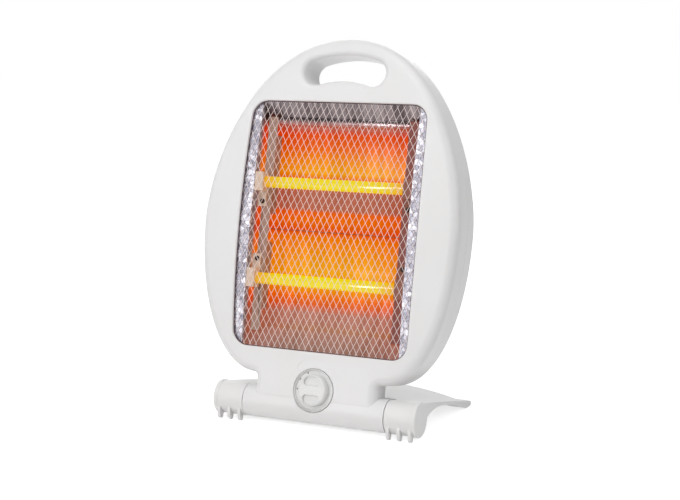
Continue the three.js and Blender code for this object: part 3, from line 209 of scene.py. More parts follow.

# %% [markdown]
# ## Metals
# The reflector behind the tubes is bright rolled aluminium, whose fine lines smear reflections upwards
# and downwards. The side flanges are aluminium embossed with a hammered pattern, which breaks every
# reflection into bright and dark flakes. Brackets, shield and screws are zinc-plated steel: greyer, and
# duller, with a faint spangle. The screws in the ceramic holders are brown where the tubes have heated
# them for years. The brown and red of the brackets is painted glow of the tubes, darker on the right
# bracket with painted shade.


# %% Zinc-plated steel
def zinc_plated(name, code, darker, roughness=0.32):
    made, tree, place = material(name)
    spangle = add(tree, "TexVoronoi", Vector=place, Scale=every(3.85))
    colour = ramp(tree, spangle, [(0.1, code), (0.8, darker)])
    gloss = add(tree, "MapRange", Value=spangle, To_Min=roughness, To_Max=roughness + 0.12)
    shader = add(tree, "BsdfPrincipled", Base_Color=colour, Metallic=1.0, Roughness=gloss)
    add(tree, "OutputMaterial", Surface=shader)
    return made


plated_steel = zinc_plated("zinc_plated_steel", "#B9BABD", "#A3A4A8")
shield_steel = zinc_plated("galvanised_sheet", "#A6A8AB", "#8E9093", 0.42)
browned_steel = zinc_plated("heat_browned_steel", "#4A3A34", "#3A2C28", 0.5)

# %% [markdown]
# ## Bright reflector in the light of the tubes
# When the heater is on, the polished troughs are filled with the light of the glowing tubes: yellow and
# orange near a tube, red further away, and brown where only stray light arrives. That light, with the
# tubes' reflections, is painted on the sheet as a glow whose colour follows the height on the head. Under
# the glow the aluminium's own colour is painted dark, and it stays shiny, with streaks that run up and down.

# %% Painted glow of the troughs, by height above the hinge in millimetres
LOWER_GLOW = [(52, "#84604F"), (72, "#A46E5A"), (90, "#B06C56"), (98, "#DA5810"), (106, "#EE6E00")]
LOWER_GLOW += [(114, "#F09400"), (130, "#F2A400"), (150, "#F08E00"), (164, "#EC7600"), (168, "#DE5200")]
UPPER_GLOW = [(171, "#DE5000"), (180, "#EA6A00"), (188, "#E65E00"), (192, "#B4644C"), (208, "#B06450")]
UPPER_GLOW += [(216, "#DC5400"), (222, "#E26000"), (228, "#F0A000"), (238, "#EE8C00"), (252, "#E66200")]
UPPER_GLOW += [(266, "#DE4600"), (273, "#A05040"), (278, "#241E1E"), (297, "#161212")]
TROUGH_GLOW = LOWER_GLOW + UPPER_GLOW
GLOW_LOW = TROUGH_GLOW[0][0]
GLOW_HIGH = TROUGH_GLOW[-1][0]
SIDE_GLOW = [(0.0, "#FFFFFF"), (0.4, "#FFFFFF"), (1.0, "#F4BEA4")]
TROUGH_REACH = 84.0
# The aluminium's own colour by height: grey on the strips, and painted dark under the painted glow.
METAL_PAINTED_DARK_UNDER_GLOW = [(0.0, "#6A6264"), (0.17, "#50484A"), (0.2, "#2C1E18")]
METAL_PAINTED_DARK_UNDER_GLOW += [(0.88, "#2C1E18"), (0.92, "#8A8486"), (1.0, "#A09A9C")]
STREAK = (6.25, 50.0, 83.3)


def way_up(tree, split):
    """The share of the way up the glowing part of the head."""
    return add(tree, "MapRange", Value=split.outputs["Z"], From_Min=GLOW_LOW, From_Max=GLOW_HIGH)


def glow_by_height(tree, split, aside):
    """Colour of the light on the troughs, a little redder towards both ends of the tubes."""
    stops = [((z - GLOW_LOW) / (GLOW_HIGH - GLOW_LOW), code) for z, code in TROUGH_GLOW]
    by_height = ramp(tree, way_up(tree, split), stops)
    along = add(tree, "MapRange", Value=aside, From_Max=TROUGH_REACH)
    return add(tree, "MixRGB", MULTIPLY, Fac=1.0, Color1=by_height, Color2=ramp(tree, along, SIDE_GLOW))


# %% Bright rolled aluminium with painted glow
def reflector_metal():
    made, tree, place = material("bright_rolled_aluminium_painted_glow")
    whole, split, aside = head_place(tree, place)
    streak_place = add(tree, "Mapping", Vector=whole, Scale=[1 / size for size in STREAK])
    streaks = add(tree, "TexNoise", Vector=streak_place, Scale=1.0, Detail=3.0)
    bright = ramp(tree, streaks, [(0.34, "#8A8486"), (0.5, "#C0BCBE"), (0.66, "#F4F2F2")])
    # Painted: the metal's colour is made dark by height where the painted glow lies.
    dark = ramp(tree, way_up(tree, split), METAL_PAINTED_DARK_UNDER_GLOW)
    metal = add(tree, "MixRGB", MULTIPLY, Fac=1.0, Color1=dark, Color2=bright)
    uneven = add(tree, "MapRange", Value=streaks, From_Min=0.3, From_Max=0.7, To_Min=0.88, To_Max=1.06)
    glow = glow_by_height(tree, split, aside)
    lit = add(tree, "MixRGB", MULTIPLY, Fac=1.0, Color1=glow, Color2=uneven)
    # The glow is the tubes' light and reflections, painted on the sheet.
    light = {"Emission_Color": lit, "Emission_Strength": 1.0}
    shader = add(tree, "BsdfPrincipled", Base_Color=metal, Metallic=1.0, Roughness=0.15, **light)
    add(tree, "OutputMaterial", Surface=shader)
    return made


trough_metal = reflector_metal()

# %% Hammered aluminium
DENT = 4.35
WEB_EDGE = 85.0
WEB_FADE = 0.4
WEB_DEPTHS = (-9.0, -4.0)


def hammered_aluminium():
    """Embossed foil: soft facets with painted shade in the thin valleys between them, and a painted glow of the
    tubes on the inner web.
    """
    made, tree, place = material("hammered_aluminium")
    split, aside = head_place(tree, place)[1:]
    bend = add(tree, "TexNoise", Vector=place, Scale=every(3.85), Detail=3.0)
    bent = {"operation": "MULTIPLY_ADD"}
    bent_place = add(tree, "VectorMath", bent, i0=bend.outputs["Color"], i1=(3 * MM,) * 3, i2=place)
    facets = add(tree, "TexVoronoi", Vector=bent_place, Scale=every(DENT))
    valleys = add(tree, "TexVoronoi", {"feature": "DISTANCE_TO_EDGE"}, Vector=bent_place, Scale=every(DENT))
    tone = add(tree, "SeparateXYZ", Vector=facets.outputs["Color"])
    facet_colour = ramp(tree, tone, [(0.1, "#9A98A4"), (0.5, "#B9B7C2"), (0.9, "#E2E2EA")])
    # Painted shade: the valleys between the dents are darkened.
    valley_painted_shade = ramp(tree, valleys, [(0.01, "#7C7884"), (0.1, "#FFFFFF")])
    foil = add(tree, "MixRGB", MULTIPLY, Fac=0.7, Color1=facet_colour, Color2=valley_painted_shade)
    dents = add(tree, "Bump", Height=facets, Distance=0.4 * MM, Strength=0.4)
    inside = add(tree, "MapRange", Value=aside, From_Min=WEB_EDGE + WEB_FADE, From_Max=WEB_EDGE - WEB_FADE)
    shallow, deep = WEB_DEPTHS
    behind = add(tree, "MapRange", Value=split.outputs["Y"], From_Min=shallow, From_Max=deep)
    web = add(tree, "Math", {"operation": "MULTIPLY"}, i0=inside, i1=behind)
    # On the inner web the tubes' light is painted as a glow, and the foil's colour is painted dark under it. The
    # rest of the flange gets a faint painted glow.
    glow = glow_by_height(tree, split, aside)
    lit = add(tree, "MixRGB", Fac=web, Color1=linear("#0C0A0C"), Color2=glow)
    colour = add(tree, "MixRGB", Fac=web, Color1=foil, Color2=linear("#33201A"))
    light = {"Emission_Color": lit, "Emission_Strength": 0.9}
    gloss = {"Metallic": 0.45, "Roughness": 0.38}
    shader = add(tree, "BsdfPrincipled", Base_Color=colour, Normal=dents, **gloss, **light)
    add(tree, "OutputMaterial", Surface=shader)
    return made


hammered = hammered_aluminium()

# %% Lit quartz, ceramic, sleeving and enamel
COIL_REACH = 90.0
COIL_GLOW = [(0.0, "#F6E000"), (0.6, "#F4D600"), (0.8, "#EEAC00"), (0.86, "#C98A50")]


def lit_quartz():
    """Quartz glass full of light: yellow along the coil, a shade deeper towards its ends."""
    made, tree, place = material("lit_quartz_glass")
    aside = head_place(tree, place)[2]
    along = add(tree, "MapRange", Value=aside, From_Max=COIL_REACH)
    turns = add(tree, "TexNoise", Vector=place, Scale=every(3.33), Detail=1.0)
    uneven = add(tree, "MapRange", Value=turns, To_Min=0.85, To_Max=1.1)
    glow = ramp(tree, along, COIL_GLOW)
    lit = add(tree, "MixRGB", MULTIPLY, Fac=1.0, Color1=glow, Color2=uneven)
    light = {"Emission_Color": lit, "Emission_Strength": 0.9}
    shader = add(tree, "BsdfPrincipled", Base_Color=linear("#241400"), Roughness=0.08, IOR=1.46, **light)
    add(tree, "OutputMaterial", Surface=shader)
    return made


def dull_coating(name, code, darker, roughness, grain_mm, height_mm, glow=None):
    """A matt surface with an even grain, as fired steatite, woven sleeving and baked enamel have."""
    made, tree, place = material(name)
    grain = add(tree, "TexNoise", Vector=place, Scale=every(grain_mm), Detail=2.0)
    colour = ramp(tree, grain, [(0.3, darker), (0.7, code)])
    bump = add(tree, "Bump", Height=grain, Distance=height_mm * MM, Strength=0.5)
    # A glow, where given, is painted light of the tubes falling on the surface. Only the resistance wire really
    # glows.
    light = {"Emission_Color": linear(glow), "Emission_Strength": 1.0} if glow else {}
    shader = add(tree, "BsdfPrincipled", Base_Color=colour, Roughness=roughness, Normal=bump, **light)
    add(tree, "OutputMaterial", Surface=shader)
    return made


quartz = lit_quartz()
core_glow = dull_coating("glowing_resistance_wire", "#FFB020", "#FF9A10", 0.5, 0.4, 0.02, "#FFC040")
# The steatite's glow is painted light of the tubes.
steatite = dull_coating("fired_steatite", "#DCC8B6", "#CEB8A4", 0.7, 0.5, 0.05, "#3A281C")
# A darker copy of the steatite for the right-hand holders: painted shade, with painted glow.
shaded_steatite = dull_coating("steatite_in_painted_shade", "#8A5C4C", "#7A4E40", 0.7, 0.5, 0.05, "#38180E")
sleeving = dull_coating("glass_fibre_sleeving", "#EDE9E1", "#DAD5CA", 0.85, 0.4, 0.1)
# The enamel's pink tint and its emission are painted glow of the tubes.
mesh_enamel = dull_coating("white_baked_enamel", "#F8EEEC", "#F0E4E2", 0.4, 0.3, 0.02, "#341E1A")
# The zinc sheet's brown colour and its emission are painted glow of the tubes.
bracket_zinc = dull_coating("zinc_sheet_in_painted_glow", "#A48A7C", "#8E7468", 0.45, 1.2, 0.02, "#40200E")
# A darker, redder copy of the zinc sheet for the right-hand bracket: painted shade, with painted glow.
zinc_painted_shade = dull_coating("zinc_sheet_painted_glow_and_shade", "#5A2A1E", "#4E2218", 0.45, 1.2, 0.02, "#561604")
# A dark ring at the window's edge: painted shadow.
shadow_ring_dark = dull_coating("dark_ring_of_painted_shadow", "#54404A", "#46343C", 0.9, 0.5, 0.03)
print(len(bpy.data.materials), "materials")

# %% [markdown]
# ## Helpers for shapes
# Most pieces start as one flat outline. The outline is pushed to a prism, its edges are rounded by
# insetting the end face in small steps along a quarter circle, and prisms are then joined to or cut out
# of each other. The same steps with the circle turned round make a cutter with a trumpet mouth, which
# leaves a rounded rim on the hole that it cuts.

# %% Small steps that most shapes share
def points_of(geometry):
    return [part for part in geometry if isinstance(part, bmesh.types.BMVert)]


def sheet(bm, outline, y):
    """A flat face from an outline of [x, z] points, at depth y."""
    return bm.faces.new([bm.verts.new((x, y, z)) for x, z in outline])


def inset(bm, face, thickness):
    """Draw a face in by the same width all round. The rim of new faces is given."""
    settings = {"use_even_offset": True, "use_boundary": True}
    return bmesh.ops.inset_region(bm, faces=[face], thickness=thickness, **settings)["faces"]


def divide(bm, place, normal, **settings):
    """Cut across a whole form in a plane."""
    everything = [*bm.verts, *bm.edges, *bm.faces]
    bmesh.ops.bisect_plane(bm, geom=everything, plane_co=place, plane_no=normal, **settings)


# %% Prisms with rounded ends
ROUND = [math.pi / 2 * i / 8 for i in range(1, 9)]
SIDES = 96


def prism(outline, y0, y1):
    """A closed prism from an outline at depth y0, pushed to depth y1, and its end face."""
    bm = bmesh.new()
    return bm, push(bm, sheet(bm, outline, y0), (0, y1 - y0, 0))


def push(bm, face, offset):
    """Extrude a face. A lone face stays behind as the other end, and one that closes a solid moves on."""
    lone = all(edge.is_boundary for edge in face.edges)
    made = bmesh.ops.extrude_face_region(bm, geom=[face])["geom"]
    bmesh.ops.translate(bm, verts=points_of(made), vec=offset)
    if not lone:
        bmesh.ops.delete(bm, geom=[face], context="FACES_ONLY")
    bmesh.ops.recalc_face_normals(bm, faces=bm.faces)
    return next(f for f in made if isinstance(f, bmesh.types.BMFace))


def taper(bm, face, steps):
    """Inset a face and move it on, again and again. Each step is [inset, advance] from the start."""
    face.normal_update()
    outwards = face.normal.copy()
    drawn_in, advance = 0.0, 0.0
    for next_inset, next_advance in steps:
        inset(bm, face, next_inset - drawn_in)
        bmesh.ops.translate(bm, verts=face.verts, vec=outwards * (next_advance - advance))
        drawn_in, advance = next_inset, next_advance


def round_over(bm, face, radius):
    taper(bm, face, [(radius * (1 - math.cos(a)), radius * math.sin(a)) for a in ROUND])


def trumpet(bm, face, radius):
    taper(bm, face, [(radius * math.sin(a), radius * (1 - math.cos(a))) for a in ROUND])


def drum(sides, radius, length):
    """A closed cylinder that stands on end round the origin."""
    bm = bmesh.new()
    bmesh.ops.create_cone(bm, cap_ends=True, segments=sides, radius1=radius, radius2=radius, depth=length)
    return bm


def rod(axis, start, end, radius, centre=(0, 0), sides=SIDES):
    """A closed cylinder along X or Y, between two places on that axis."""
    bm = drum(sides, radius, abs(end - start))
    turn = Matrix.Rotation(math.pi / 2, 4, "Y" if axis == "X" else "X")
    middle = (start + end) / 2
    shift = (middle, *centre) if axis == "X" else (centre[0], middle, centre[1])
    bmesh.ops.transform(bm, matrix=Matrix.Translation(shift) @ turn, verts=bm.verts)
    return bm


def across(half, radius):
    """A rod along the hinge axis, as long to the left as to the right."""
    return rod("X", -half, half, radius)


def block(low, high):
    """A closed box between two corners."""
    bm = bmesh.new()
    bmesh.ops.create_cube(bm, size=1.0)
    size = Vector(high) - Vector(low)
    middle = (Vector(high) + Vector(low)) / 2
    bmesh.ops.transform(bm, matrix=Matrix.Translation(middle) @ Matrix.Diagonal((*size, 1)), verts=bm.verts)
    return bm


# %% Joins, cuts and finished pieces
def as_object(bm, name="part"):
    bmesh.ops.recalc_face_normals(bm, faces=bm.faces)
    mesh = bpy.data.meshes.new(name)
    bm.to_mesh(mesh)
    bm.free()
    made = bpy.data.objects.new(name, mesh)
    bpy.context.scene.collection.objects.link(made)
    return made


def combine(bm, others, operation):
    """The form joined to, or cut by, the others, which are used up. Triangles keep bowed faces exact."""
    for form in (bm, *others):
        bmesh.ops.triangulate(form, faces=form.faces)
    target = as_object(bm)
    tools = [as_object(other, "tool") for other in others]
    for tool in tools:
        step = target.modifiers.new("step", "BOOLEAN")
        step.operation = operation
        step.solver = "EXACT"
        step.object = tool
    graph = bpy.context.evaluated_depsgraph_get()
    result = bmesh.new()
    result.from_mesh(target.evaluated_get(graph).to_mesh())
    for used in [target, *tools]:
        bpy.data.meshes.remove(used.data)
    return result


def gather(forms):
    """Several forms that stay apart, as one."""
    together = bmesh.new()
    for form in forms:
        mesh = bpy.data.meshes.new("form")
        form.to_mesh(mesh)
        form.free()
        together.from_mesh(mesh)
        bpy.data.meshes.remove(mesh)
    return together


def join(bm, *others):
    return combine(bm, others, "UNION")


def cut(bm, *others):
    return combine(bm, others, "DIFFERENCE")


SHARP = math.radians(32)
record = frame["record"]
BODY_OF = {node: body for body, nodes in record["behaviour"]["bodies"].items() for node in nodes}


def finish(bm, name, finish_material, node="", place=HEAD, bevel=0.0, weighted=True):
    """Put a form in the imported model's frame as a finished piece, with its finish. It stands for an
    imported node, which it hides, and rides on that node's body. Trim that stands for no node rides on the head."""
    bmesh.ops.remove_doubles(bm, verts=bm.verts, dist=0.0005)
    bmesh.ops.transform(bm, matrix=place, verts=bm.verts)
    piece = as_object(bm, name)
    smooth(piece.data)
    if bevel:
        edge = piece.modifiers.new("soft_edges", "BEVEL")
        edge.width = bevel * MM
        edge.segments = 3
        edge.limit_method = "ANGLE"
        edge.angle_limit = SHARP
    if weighted:
        shade = piece.modifiers.new("even_shading", "WEIGHTED_NORMAL")
        shade.keep_sharp = True
    piece.data.materials.append(finish_material)
    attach(piece, BODY_OF.get(node, "head"))
    if node:
        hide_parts(node)
    print(name, len(piece.data.polygons), "faces")


def smooth(mesh):
    """Smooth shading, with sharp edges where two faces meet at a clear angle."""
    bm = bmesh.new()
    bm.from_mesh(mesh)
    for face in bm.faces:
        face.smooth = True
    for edge in bm.edges:
        edge.smooth = len(edge.link_faces) == 2 and edge.calc_face_angle(0) < SHARP
    bm.to_mesh(mesh)
    bm.free()


# %% [markdown]
# ## Outline of the head
# Seen square on, the head is an egg. Two Bezier curves a side draw it: a flat, wide one from the neck out
# to the widest place, and a rounder one from there over the top. The same outline serves the front shell,
# the rear shell and their inner walls.

# %% Driving sizes of the head, in millimetres
WALL = 2.4
GAP = 0.3
HALF_WIDTH, REAR, TOP = corners("rear_cover")[1]
CREST_DROP = 0.21
PARTING = corners("front_cover")[1].y
BOTTOM = 28.0
WIDEST = 175.8
NECK = 64.5
NECK_FILLET = 4.0
NECK_FLARE = 8.5
NECK_FLARE_HEIGHT = 14.0
FRONT_ROLL = 9.0
REAR_ROLL = 8.0
FACE = 15.4
BOW = 6.4
EASE = 14.0
WINDOW_LOW = 52.9
WINDOW_HIGH = TOP - 64.6
WINDOW_HALF = 92.4
WINDOW_SIDE_BOW = 1.9
WINDOW_CORNER = 16.0
TUBE_RADIUS = 16.1
TUBE_HALF = 74.4
END_WALL = 2.8
BUSH_HOLE = 10.8
print("head half width", round(HALF_WIDTH, 1), "top", round(TOP, 1), "rear", round(REAR, 1))


def bezier(points, count):
    """Points along a cubic Bezier curve in the X-Z plane."""
    a, b, c, d = [Vector((x, z, 0)) for x, z in points]
    return [(p.x, p.y) for p in interpolate_bezier(a, b, c, d, count)]


TOUCHING = 0.001


def both_sides(right_side):
    """A whole loop from its right side, which runs from the bottom middle to the top middle."""
    left_side = [(-x, z) for x, z in reversed(right_side) if abs(x) > TOUCHING]
    return right_side + left_side


def egg_side():
    """The right side of the egg, from the neck over the widest place to the top middle."""
    widest = (HALF_WIDTH, WIDEST)
    crest = TOP - CREST_DROP
    lower = bezier([(NECK, BOTTOM), (HALF_WIDTH - 23.3, BOTTOM - 2), (HALF_WIDTH, WIDEST - 78), widest], 34)
    upper = bezier([widest, (HALF_WIDTH, WIDEST + 54.4), (HALF_WIDTH - 36.2, crest), (0, crest)], 44)
    return lower + upper[1:]


def arc(centre, radius, start, end, count):
    angles = [math.radians(start + (end - start) * i / count) for i in range(count + 1)]
    return [(centre[0] + radius * math.cos(a), centre[1] + radius * math.sin(a)) for a in angles]


def front_outline():
    fillet = arc((NECK + NECK_FILLET, BOTTOM - NECK_FILLET), NECK_FILLET, 180, 90, 6)
    side = [p for p in egg_side() if p[0] > NECK + NECK_FILLET + 1 or p[1] > WIDEST]
    return both_sides([(0, 0), (NECK, 0), *fillet, *side])


def window_outline(margin=0.0):
    half, low_z, high_z = WINDOW_HALF + margin, WINDOW_LOW - margin, WINDOW_HIGH + margin
    radius = WINDOW_CORNER + margin
    middle = (low_z + high_z) / 2
    reach = (high_z - low_z) / 2 - radius
    heights = [middle - reach + 2 * reach * i / 10 for i in range(1, 10)]
    side = [(half + WINDOW_SIDE_BOW * (1 - ((z - middle) / reach) ** 2), z) for z in heights]
    lower = arc((half - radius, low_z + radius), radius, -90, 0, 10)
    upper = arc((half - radius, high_z - radius), radius, 0, 90, 10)
    return both_sides([(0, low_z), *lower, *side, *upper, (0, high_z)])


# %% [markdown]
# ## Bow of the face
# The face of the front shell is not flat. It stands furthest forward at the middle of the window and
# falls back above and below it. Modelling it flat and bowing it afterwards keeps every step simple: level
# cuts divide the form into strips, and then each point moves forward by an amount that only depends on
# its height.

# %% Bow
WINDOW_MIDDLE = (WINDOW_HIGH + WINDOW_LOW) / 2
WINDOW_REACH = (WINDOW_HIGH - WINDOW_LOW) / 2
STRIP = 9.0


def face_depth(z):
    """How far the face stands in front of the hinge axis at a height."""
    below = WINDOW_LOW - z
    if below <= 0:
        return FACE + BOW * (1 - ((z - WINDOW_MIDDLE) / WINDOW_REACH) ** 2)
    eased = min(below, EASE)
    return FACE - 2 * BOW / WINDOW_REACH * (eased - eased**2 / (2 * EASE))


def flare(bm):
    """Spread the foot of the neck sideways, so that it runs into the hinge tube with a soft curve."""
    for i in range(1, 7):
        divide(bm, (0, 0, NECK_FLARE_HEIGHT * i / 6), (0, 0, 1))
    for vert in bm.verts:
        low = max(0.0, 1 - vert.co.z / NECK_FLARE_HEIGHT)
        outer = max(0.0, abs(vert.co.x) / NECK - 0.5) * 2
        vert.co.x += math.copysign(NECK_FLARE * low * low * outer, vert.co.x)
    return bm


def bow(bm):
    """Bow a flat form. Points behind the parting stay, and points in front of the roll follow the face."""
    heights = [v.co.z for v in bm.verts]
    level = math.ceil(min(heights) / STRIP) * STRIP
    while level < max(heights):
        divide(bm, (0, 0, level), (0, 0, 1))
        level += STRIP
    for vert in bm.verts:
        share = min(max((PARTING - vert.co.y) / (PARTING + FACE - FRONT_ROLL), 0.0), 1.0)
        vert.co.y -= share * (face_depth(vert.co.z) - FACE)
    return bm


# %% [markdown]
# ## Hand hole
# The hand hole is a bent oblong that goes right through the top of the head, through both shells, with a
# generous rounding at each mouth so that it is kind to the hand.

# %% Hand hole
HOLE_MIDDLE = TOP - 30.3
HOLE_BEND = 100.0
HOLE_HALF_HEIGHT = 12.8
HOLE_HALF_WIDTH = 43.5
HOLE_RIM = 5.5
HOLE_REAR_RIM = 4.0


def hole_outline(margin=0.0):
    half = HOLE_HALF_HEIGHT + margin
    reach = math.degrees((HOLE_HALF_WIDTH - HOLE_HALF_HEIGHT) / HOLE_BEND)
    centre = (0, HOLE_MIDDLE - HOLE_BEND)
    end = arc(centre, HOLE_BEND, 90 - reach, 90 - reach, 1)[0]
    below = arc(centre, HOLE_BEND - half, 90, 90 - reach, 10)
    round_end = arc(end, half, -90 - reach, 90 - reach, 22)
    above = arc(centre, HOLE_BEND + half, 90 - reach, 90, 12)
    return both_sides([*below, *round_end[1:], *above[1:]])


LEAD_IN = 1.5
CLEAR = 0.05


def mouth(outline, face_y, rim, far_y):
    """A cutter that starts just off a face with a trumpet mouth, and goes on straight to far_y."""
    towards = 1 if far_y > face_y else -1
    bm, end = prism(outline(rim), face_y - towards * LEAD_IN, face_y - towards * CLEAR)
    trumpet(bm, end, rim)
    push(bm, end, (0, far_y - face_y - towards * (rim - CLEAR), 0))
    return bm


# %% [markdown]
# ## Front shell
# The front shell is one moulding: the egg, the neck and half of the hinge tube. A full form and a smaller
# one are made the same way, and the smaller is cut out of the larger, which leaves the wall. Then the
# window, the hand hole, the dial's hole and a shallow oval below the window are cut.


# %% Front shell
def shell_form(outline, wall, start, towards, reach, roll):
    """One moulded half: an outline, smaller by a wall, pushed forwards or backwards, with a rolled edge."""
    bm = bmesh.new()
    flat = sheet(bm, outline, start)
    if wall:
        flat.normal_update()
        bmesh.ops.delete(bm, geom=inset(bm, flat, wall), context="FACES")
    end = push(bm, flat, (0, towards, 0))
    bmesh.ops.translate(bm, verts=end.verts, vec=(0, towards * (reach - roll - 1), 0))
    round_over(bm, end, roll)
    return bm


FAR = 200.0


def space(y0, y1):
    """All the room between two depths."""
    return block((-FAR, y0, -FAR), (FAR, y1, 2 * FAR))


DIAL_Z = (HEAD.inverted() @ Vector(joints["knob_turn"]["pos_m"])).z
DIAL_LIP = 1.8
DIAL_HOLE = corners("dial_plate")[1].x - DIAL_LIP + GAP
FACE_LOW = -face_depth(0)


def dial_outline(margin=0.0):
    return arc((0, DIAL_Z), DIAL_HOLE + margin, 0, 357, 119)


print("dial at height", round(DIAL_Z, 2), "hole radius", round(DIAL_HOLE, 2), "face", round(FACE_LOW, 2))

OVAL_HALF_WIDTH = 18.5
OVAL_HALF_HEIGHT = 8.5
OVAL_SINK = 0.3
OVAL_Z = WINDOW_LOW - 15.0
circle = arc((0, 0), 1.0, 0, 354, 59)
oval_outline = [(OVAL_HALF_WIDTH * x, OVAL_Z + OVAL_HALF_HEIGHT * z) for x, z in circle]

WINDOW_RIM = 1.6
DIAL_RIM = 0.7
DIAL_LAND = 0.65
LAND_PROUD = 0.1
AHEAD = -40.0
SPARE = 3.0
begin = PARTING + SPARE
outer = bow(flare(shell_form(front_outline(), 0, begin, -1, begin + FACE, FRONT_ROLL)))
inner = bow(shell_form(front_outline(), WALL, begin, -1, begin + FACE - WALL, FRONT_ROLL - WALL))
tunnel = prism(hole_outline(WALL), AHEAD, begin + 1)[0]
neck_room = block((-NECK + 2 * WALL, FACE_LOW + WALL, 0), (NECK - 2 * WALL, 0, DIAL_Z))
front = cut(
    join(outer, across(TUBE_HALF, TUBE_RADIUS)),
    space(PARTING, FAR),
    join(cut(inner, tunnel), across(TUBE_HALF - END_WALL, TUBE_RADIUS - WALL), neck_room),
    bow(mouth(window_outline, -FACE, WINDOW_RIM, 0)),
    bow(mouth(hole_outline, -FACE, HOLE_RIM, begin)),
    mouth(dial_outline, FACE_LOW, DIAL_RIM, 0),
    bow(prism(oval_outline, -FACE - 2, -FACE + OVAL_SINK)[0]),
    rod("Y", AHEAD, FACE_LOW - LAND_PROUD, DIAL_HOLE + DIAL_LAND, (0, DIAL_Z)),
    across(TUBE_HALF + 1, BUSH_HOLE),
)
finish(front, "front_shell", housing_abs, "front_cover")

# %% [markdown]
# ## Rear shell
# The rear shell is a flat-backed tray with the same outline. Rows of slots let the hot air out, six deep
# recesses take the screws that hold the shells together, and a round hole takes the cord gland.

# %% Rear shell
SLOT_HALF_LENGTH = 20.0
SLOT_HALF_HEIGHT = 2.1
SLOT_COLUMNS = (-50.0, 0.0, 50.0)
SLOT_PITCH = 12
LOWER_ROWS = [WINDOW_LOW + 21.1 + SLOT_PITCH * i for i in range(3)]
UPPER_ROWS = [WINDOW_HIGH - 58.4 + SLOT_PITCH * i for i in range(4)]
SLOT_RIM = 0.8
SCREW_POST = 4.8
SCREW_RECESS = 3.6
SCREW_HOLE = 1.7
SCREW_SEAT = 11.0
GLAND_HOLE = 6.3
CUT_DEPTH = 8.0
NECK_DEPTH = 9.0


def slot_outline(x, z):
    def outline(margin=0.0):
        half = SLOT_HALF_HEIGHT + margin
        right_end = arc((x + SLOT_HALF_LENGTH, z), half, -90, 90, 8)
        left_end = arc((x - SLOT_HALF_LENGTH, z), half, 90, 270, 8)
        return right_end + left_end

    return outline


def middle_of(node):
    low, high = corners(node)
    return (low + high) / 2


def at_screws(start, end, radius, sides):
    """The same rod on the axis of each screw that holds the shells together."""
    places = [middle_of(node) for node in frame["nodes"] if node.startswith("cover_screw")]
    return gather([rod("Y", start, end, radius, (p.x, p.z), sides) for p in places])


start = PARTING + GAP
begin = start - SPARE
rear_outline = both_sides([(0, BOTTOM), *egg_side()])
outer = shell_form(rear_outline, 0, begin, 1, REAR - begin, REAR_ROLL)
neck_piece = block((-NECK, 0, 0), (NECK, NECK_DEPTH, BOTTOM + 10))
inner = shell_form(rear_outline, WALL, begin, 1, REAR - begin - WALL, REAR_ROLL - WALL)
tunnel = prism(hole_outline(WALL), -1, REAR + 5)[0]
neck_room = block((-NECK + WALL, -1, 0), (NECK - WALL, NECK_DEPTH - WALL, BOTTOM + 11))
hollow = join(cut(inner, tunnel), neck_room, across(TUBE_HALF - END_WALL, TUBE_RADIUS - WALL))
rear = join(outer, neck_piece, across(TUBE_HALF, TUBE_RADIUS))
rear = join(cut(rear, hollow), at_screws(start - 1, REAR - 1, SCREW_POST, 40))
slots = [slot_outline(x, z) for x in SLOT_COLUMNS for z in LOWER_ROWS + UPPER_ROWS]
rear = cut(
    rear,
    gather([mouth(slot, REAR, SLOT_RIM, REAR - CUT_DEPTH) for slot in slots]),
    at_screws(SCREW_SEAT, REAR + 1, SCREW_RECESS, 40),
    at_screws(0, SCREW_SEAT + 1, SCREW_HOLE, 24),
    mouth(hole_outline, REAR, HOLE_REAR_RIM, start - 1),
    rod("Y", REAR - CUT_DEPTH, REAR + 1, GLAND_HOLE, (0, middle_of("cord_gland").z)),
    across(TUBE_HALF + 1, BUSH_HOLE),
    space(-FAR, start),
)
finish(rear, "rear_shell", housing_abs, "rear_cover")

# %% [markdown]
# ## Tongue behind the parting line
# Where two moulded halves meet, one has a tongue that stands behind the joint, so that no light comes
# through it. It is a ring: the shells' outline drawn in twice, with the middle and the first rim taken
# away, pushed across the joint and ended above the neck.

# %% Tongue
TONGUE_GAP = 0.15
TONGUE_WALL = 1.2
TONGUE_REACH = 2.5
TONGUE_LOW = 46.0
tongue = bmesh.new()
middle = sheet(tongue, rear_outline, PARTING - TONGUE_REACH)
middle.normal_update()
bmesh.ops.delete(tongue, geom=inset(tongue, middle, WALL + TONGUE_GAP), context="FACES")
inset(tongue, middle, TONGUE_WALL)
bmesh.ops.delete(tongue, geom=[middle], context="FACES")
pushed = bmesh.ops.extrude_face_region(tongue, geom=list(tongue.faces))["geom"]
bmesh.ops.translate(tongue, verts=points_of(pushed), vec=(0, 2 * TONGUE_REACH, 0))
divide(tongue, (0, 0, TONGUE_LOW), (0, 0, 1), clear_inner=True)
bmesh.ops.holes_fill(tongue, edges=[e for e in tongue.edges if e.is_boundary])
finish(tongue, "parting_tongue", housing_abs)

# %% [markdown]
# ## Safety mesh
# The mesh is expanded steel sheet: slanting strands that cross in long diamonds, and bow with the face.
# One strand is a thin six-sided rod, cut into lengths and bowed. Copies of it stand side by side, a second
# set leans the other way, and every strand is trimmed to the outline of the border that holds it.

# %% Mesh
MESH_PITCH = 6.7
MESH_RISE = 12.4
STRAND = 0.21
MESH_LAP = 1.8
BORDER = 3.0
MESH_SHEET = 1.2
MESH_Y = -FACE + WALL + GAP + MESH_SHEET / 2
BEHIND = 20.0


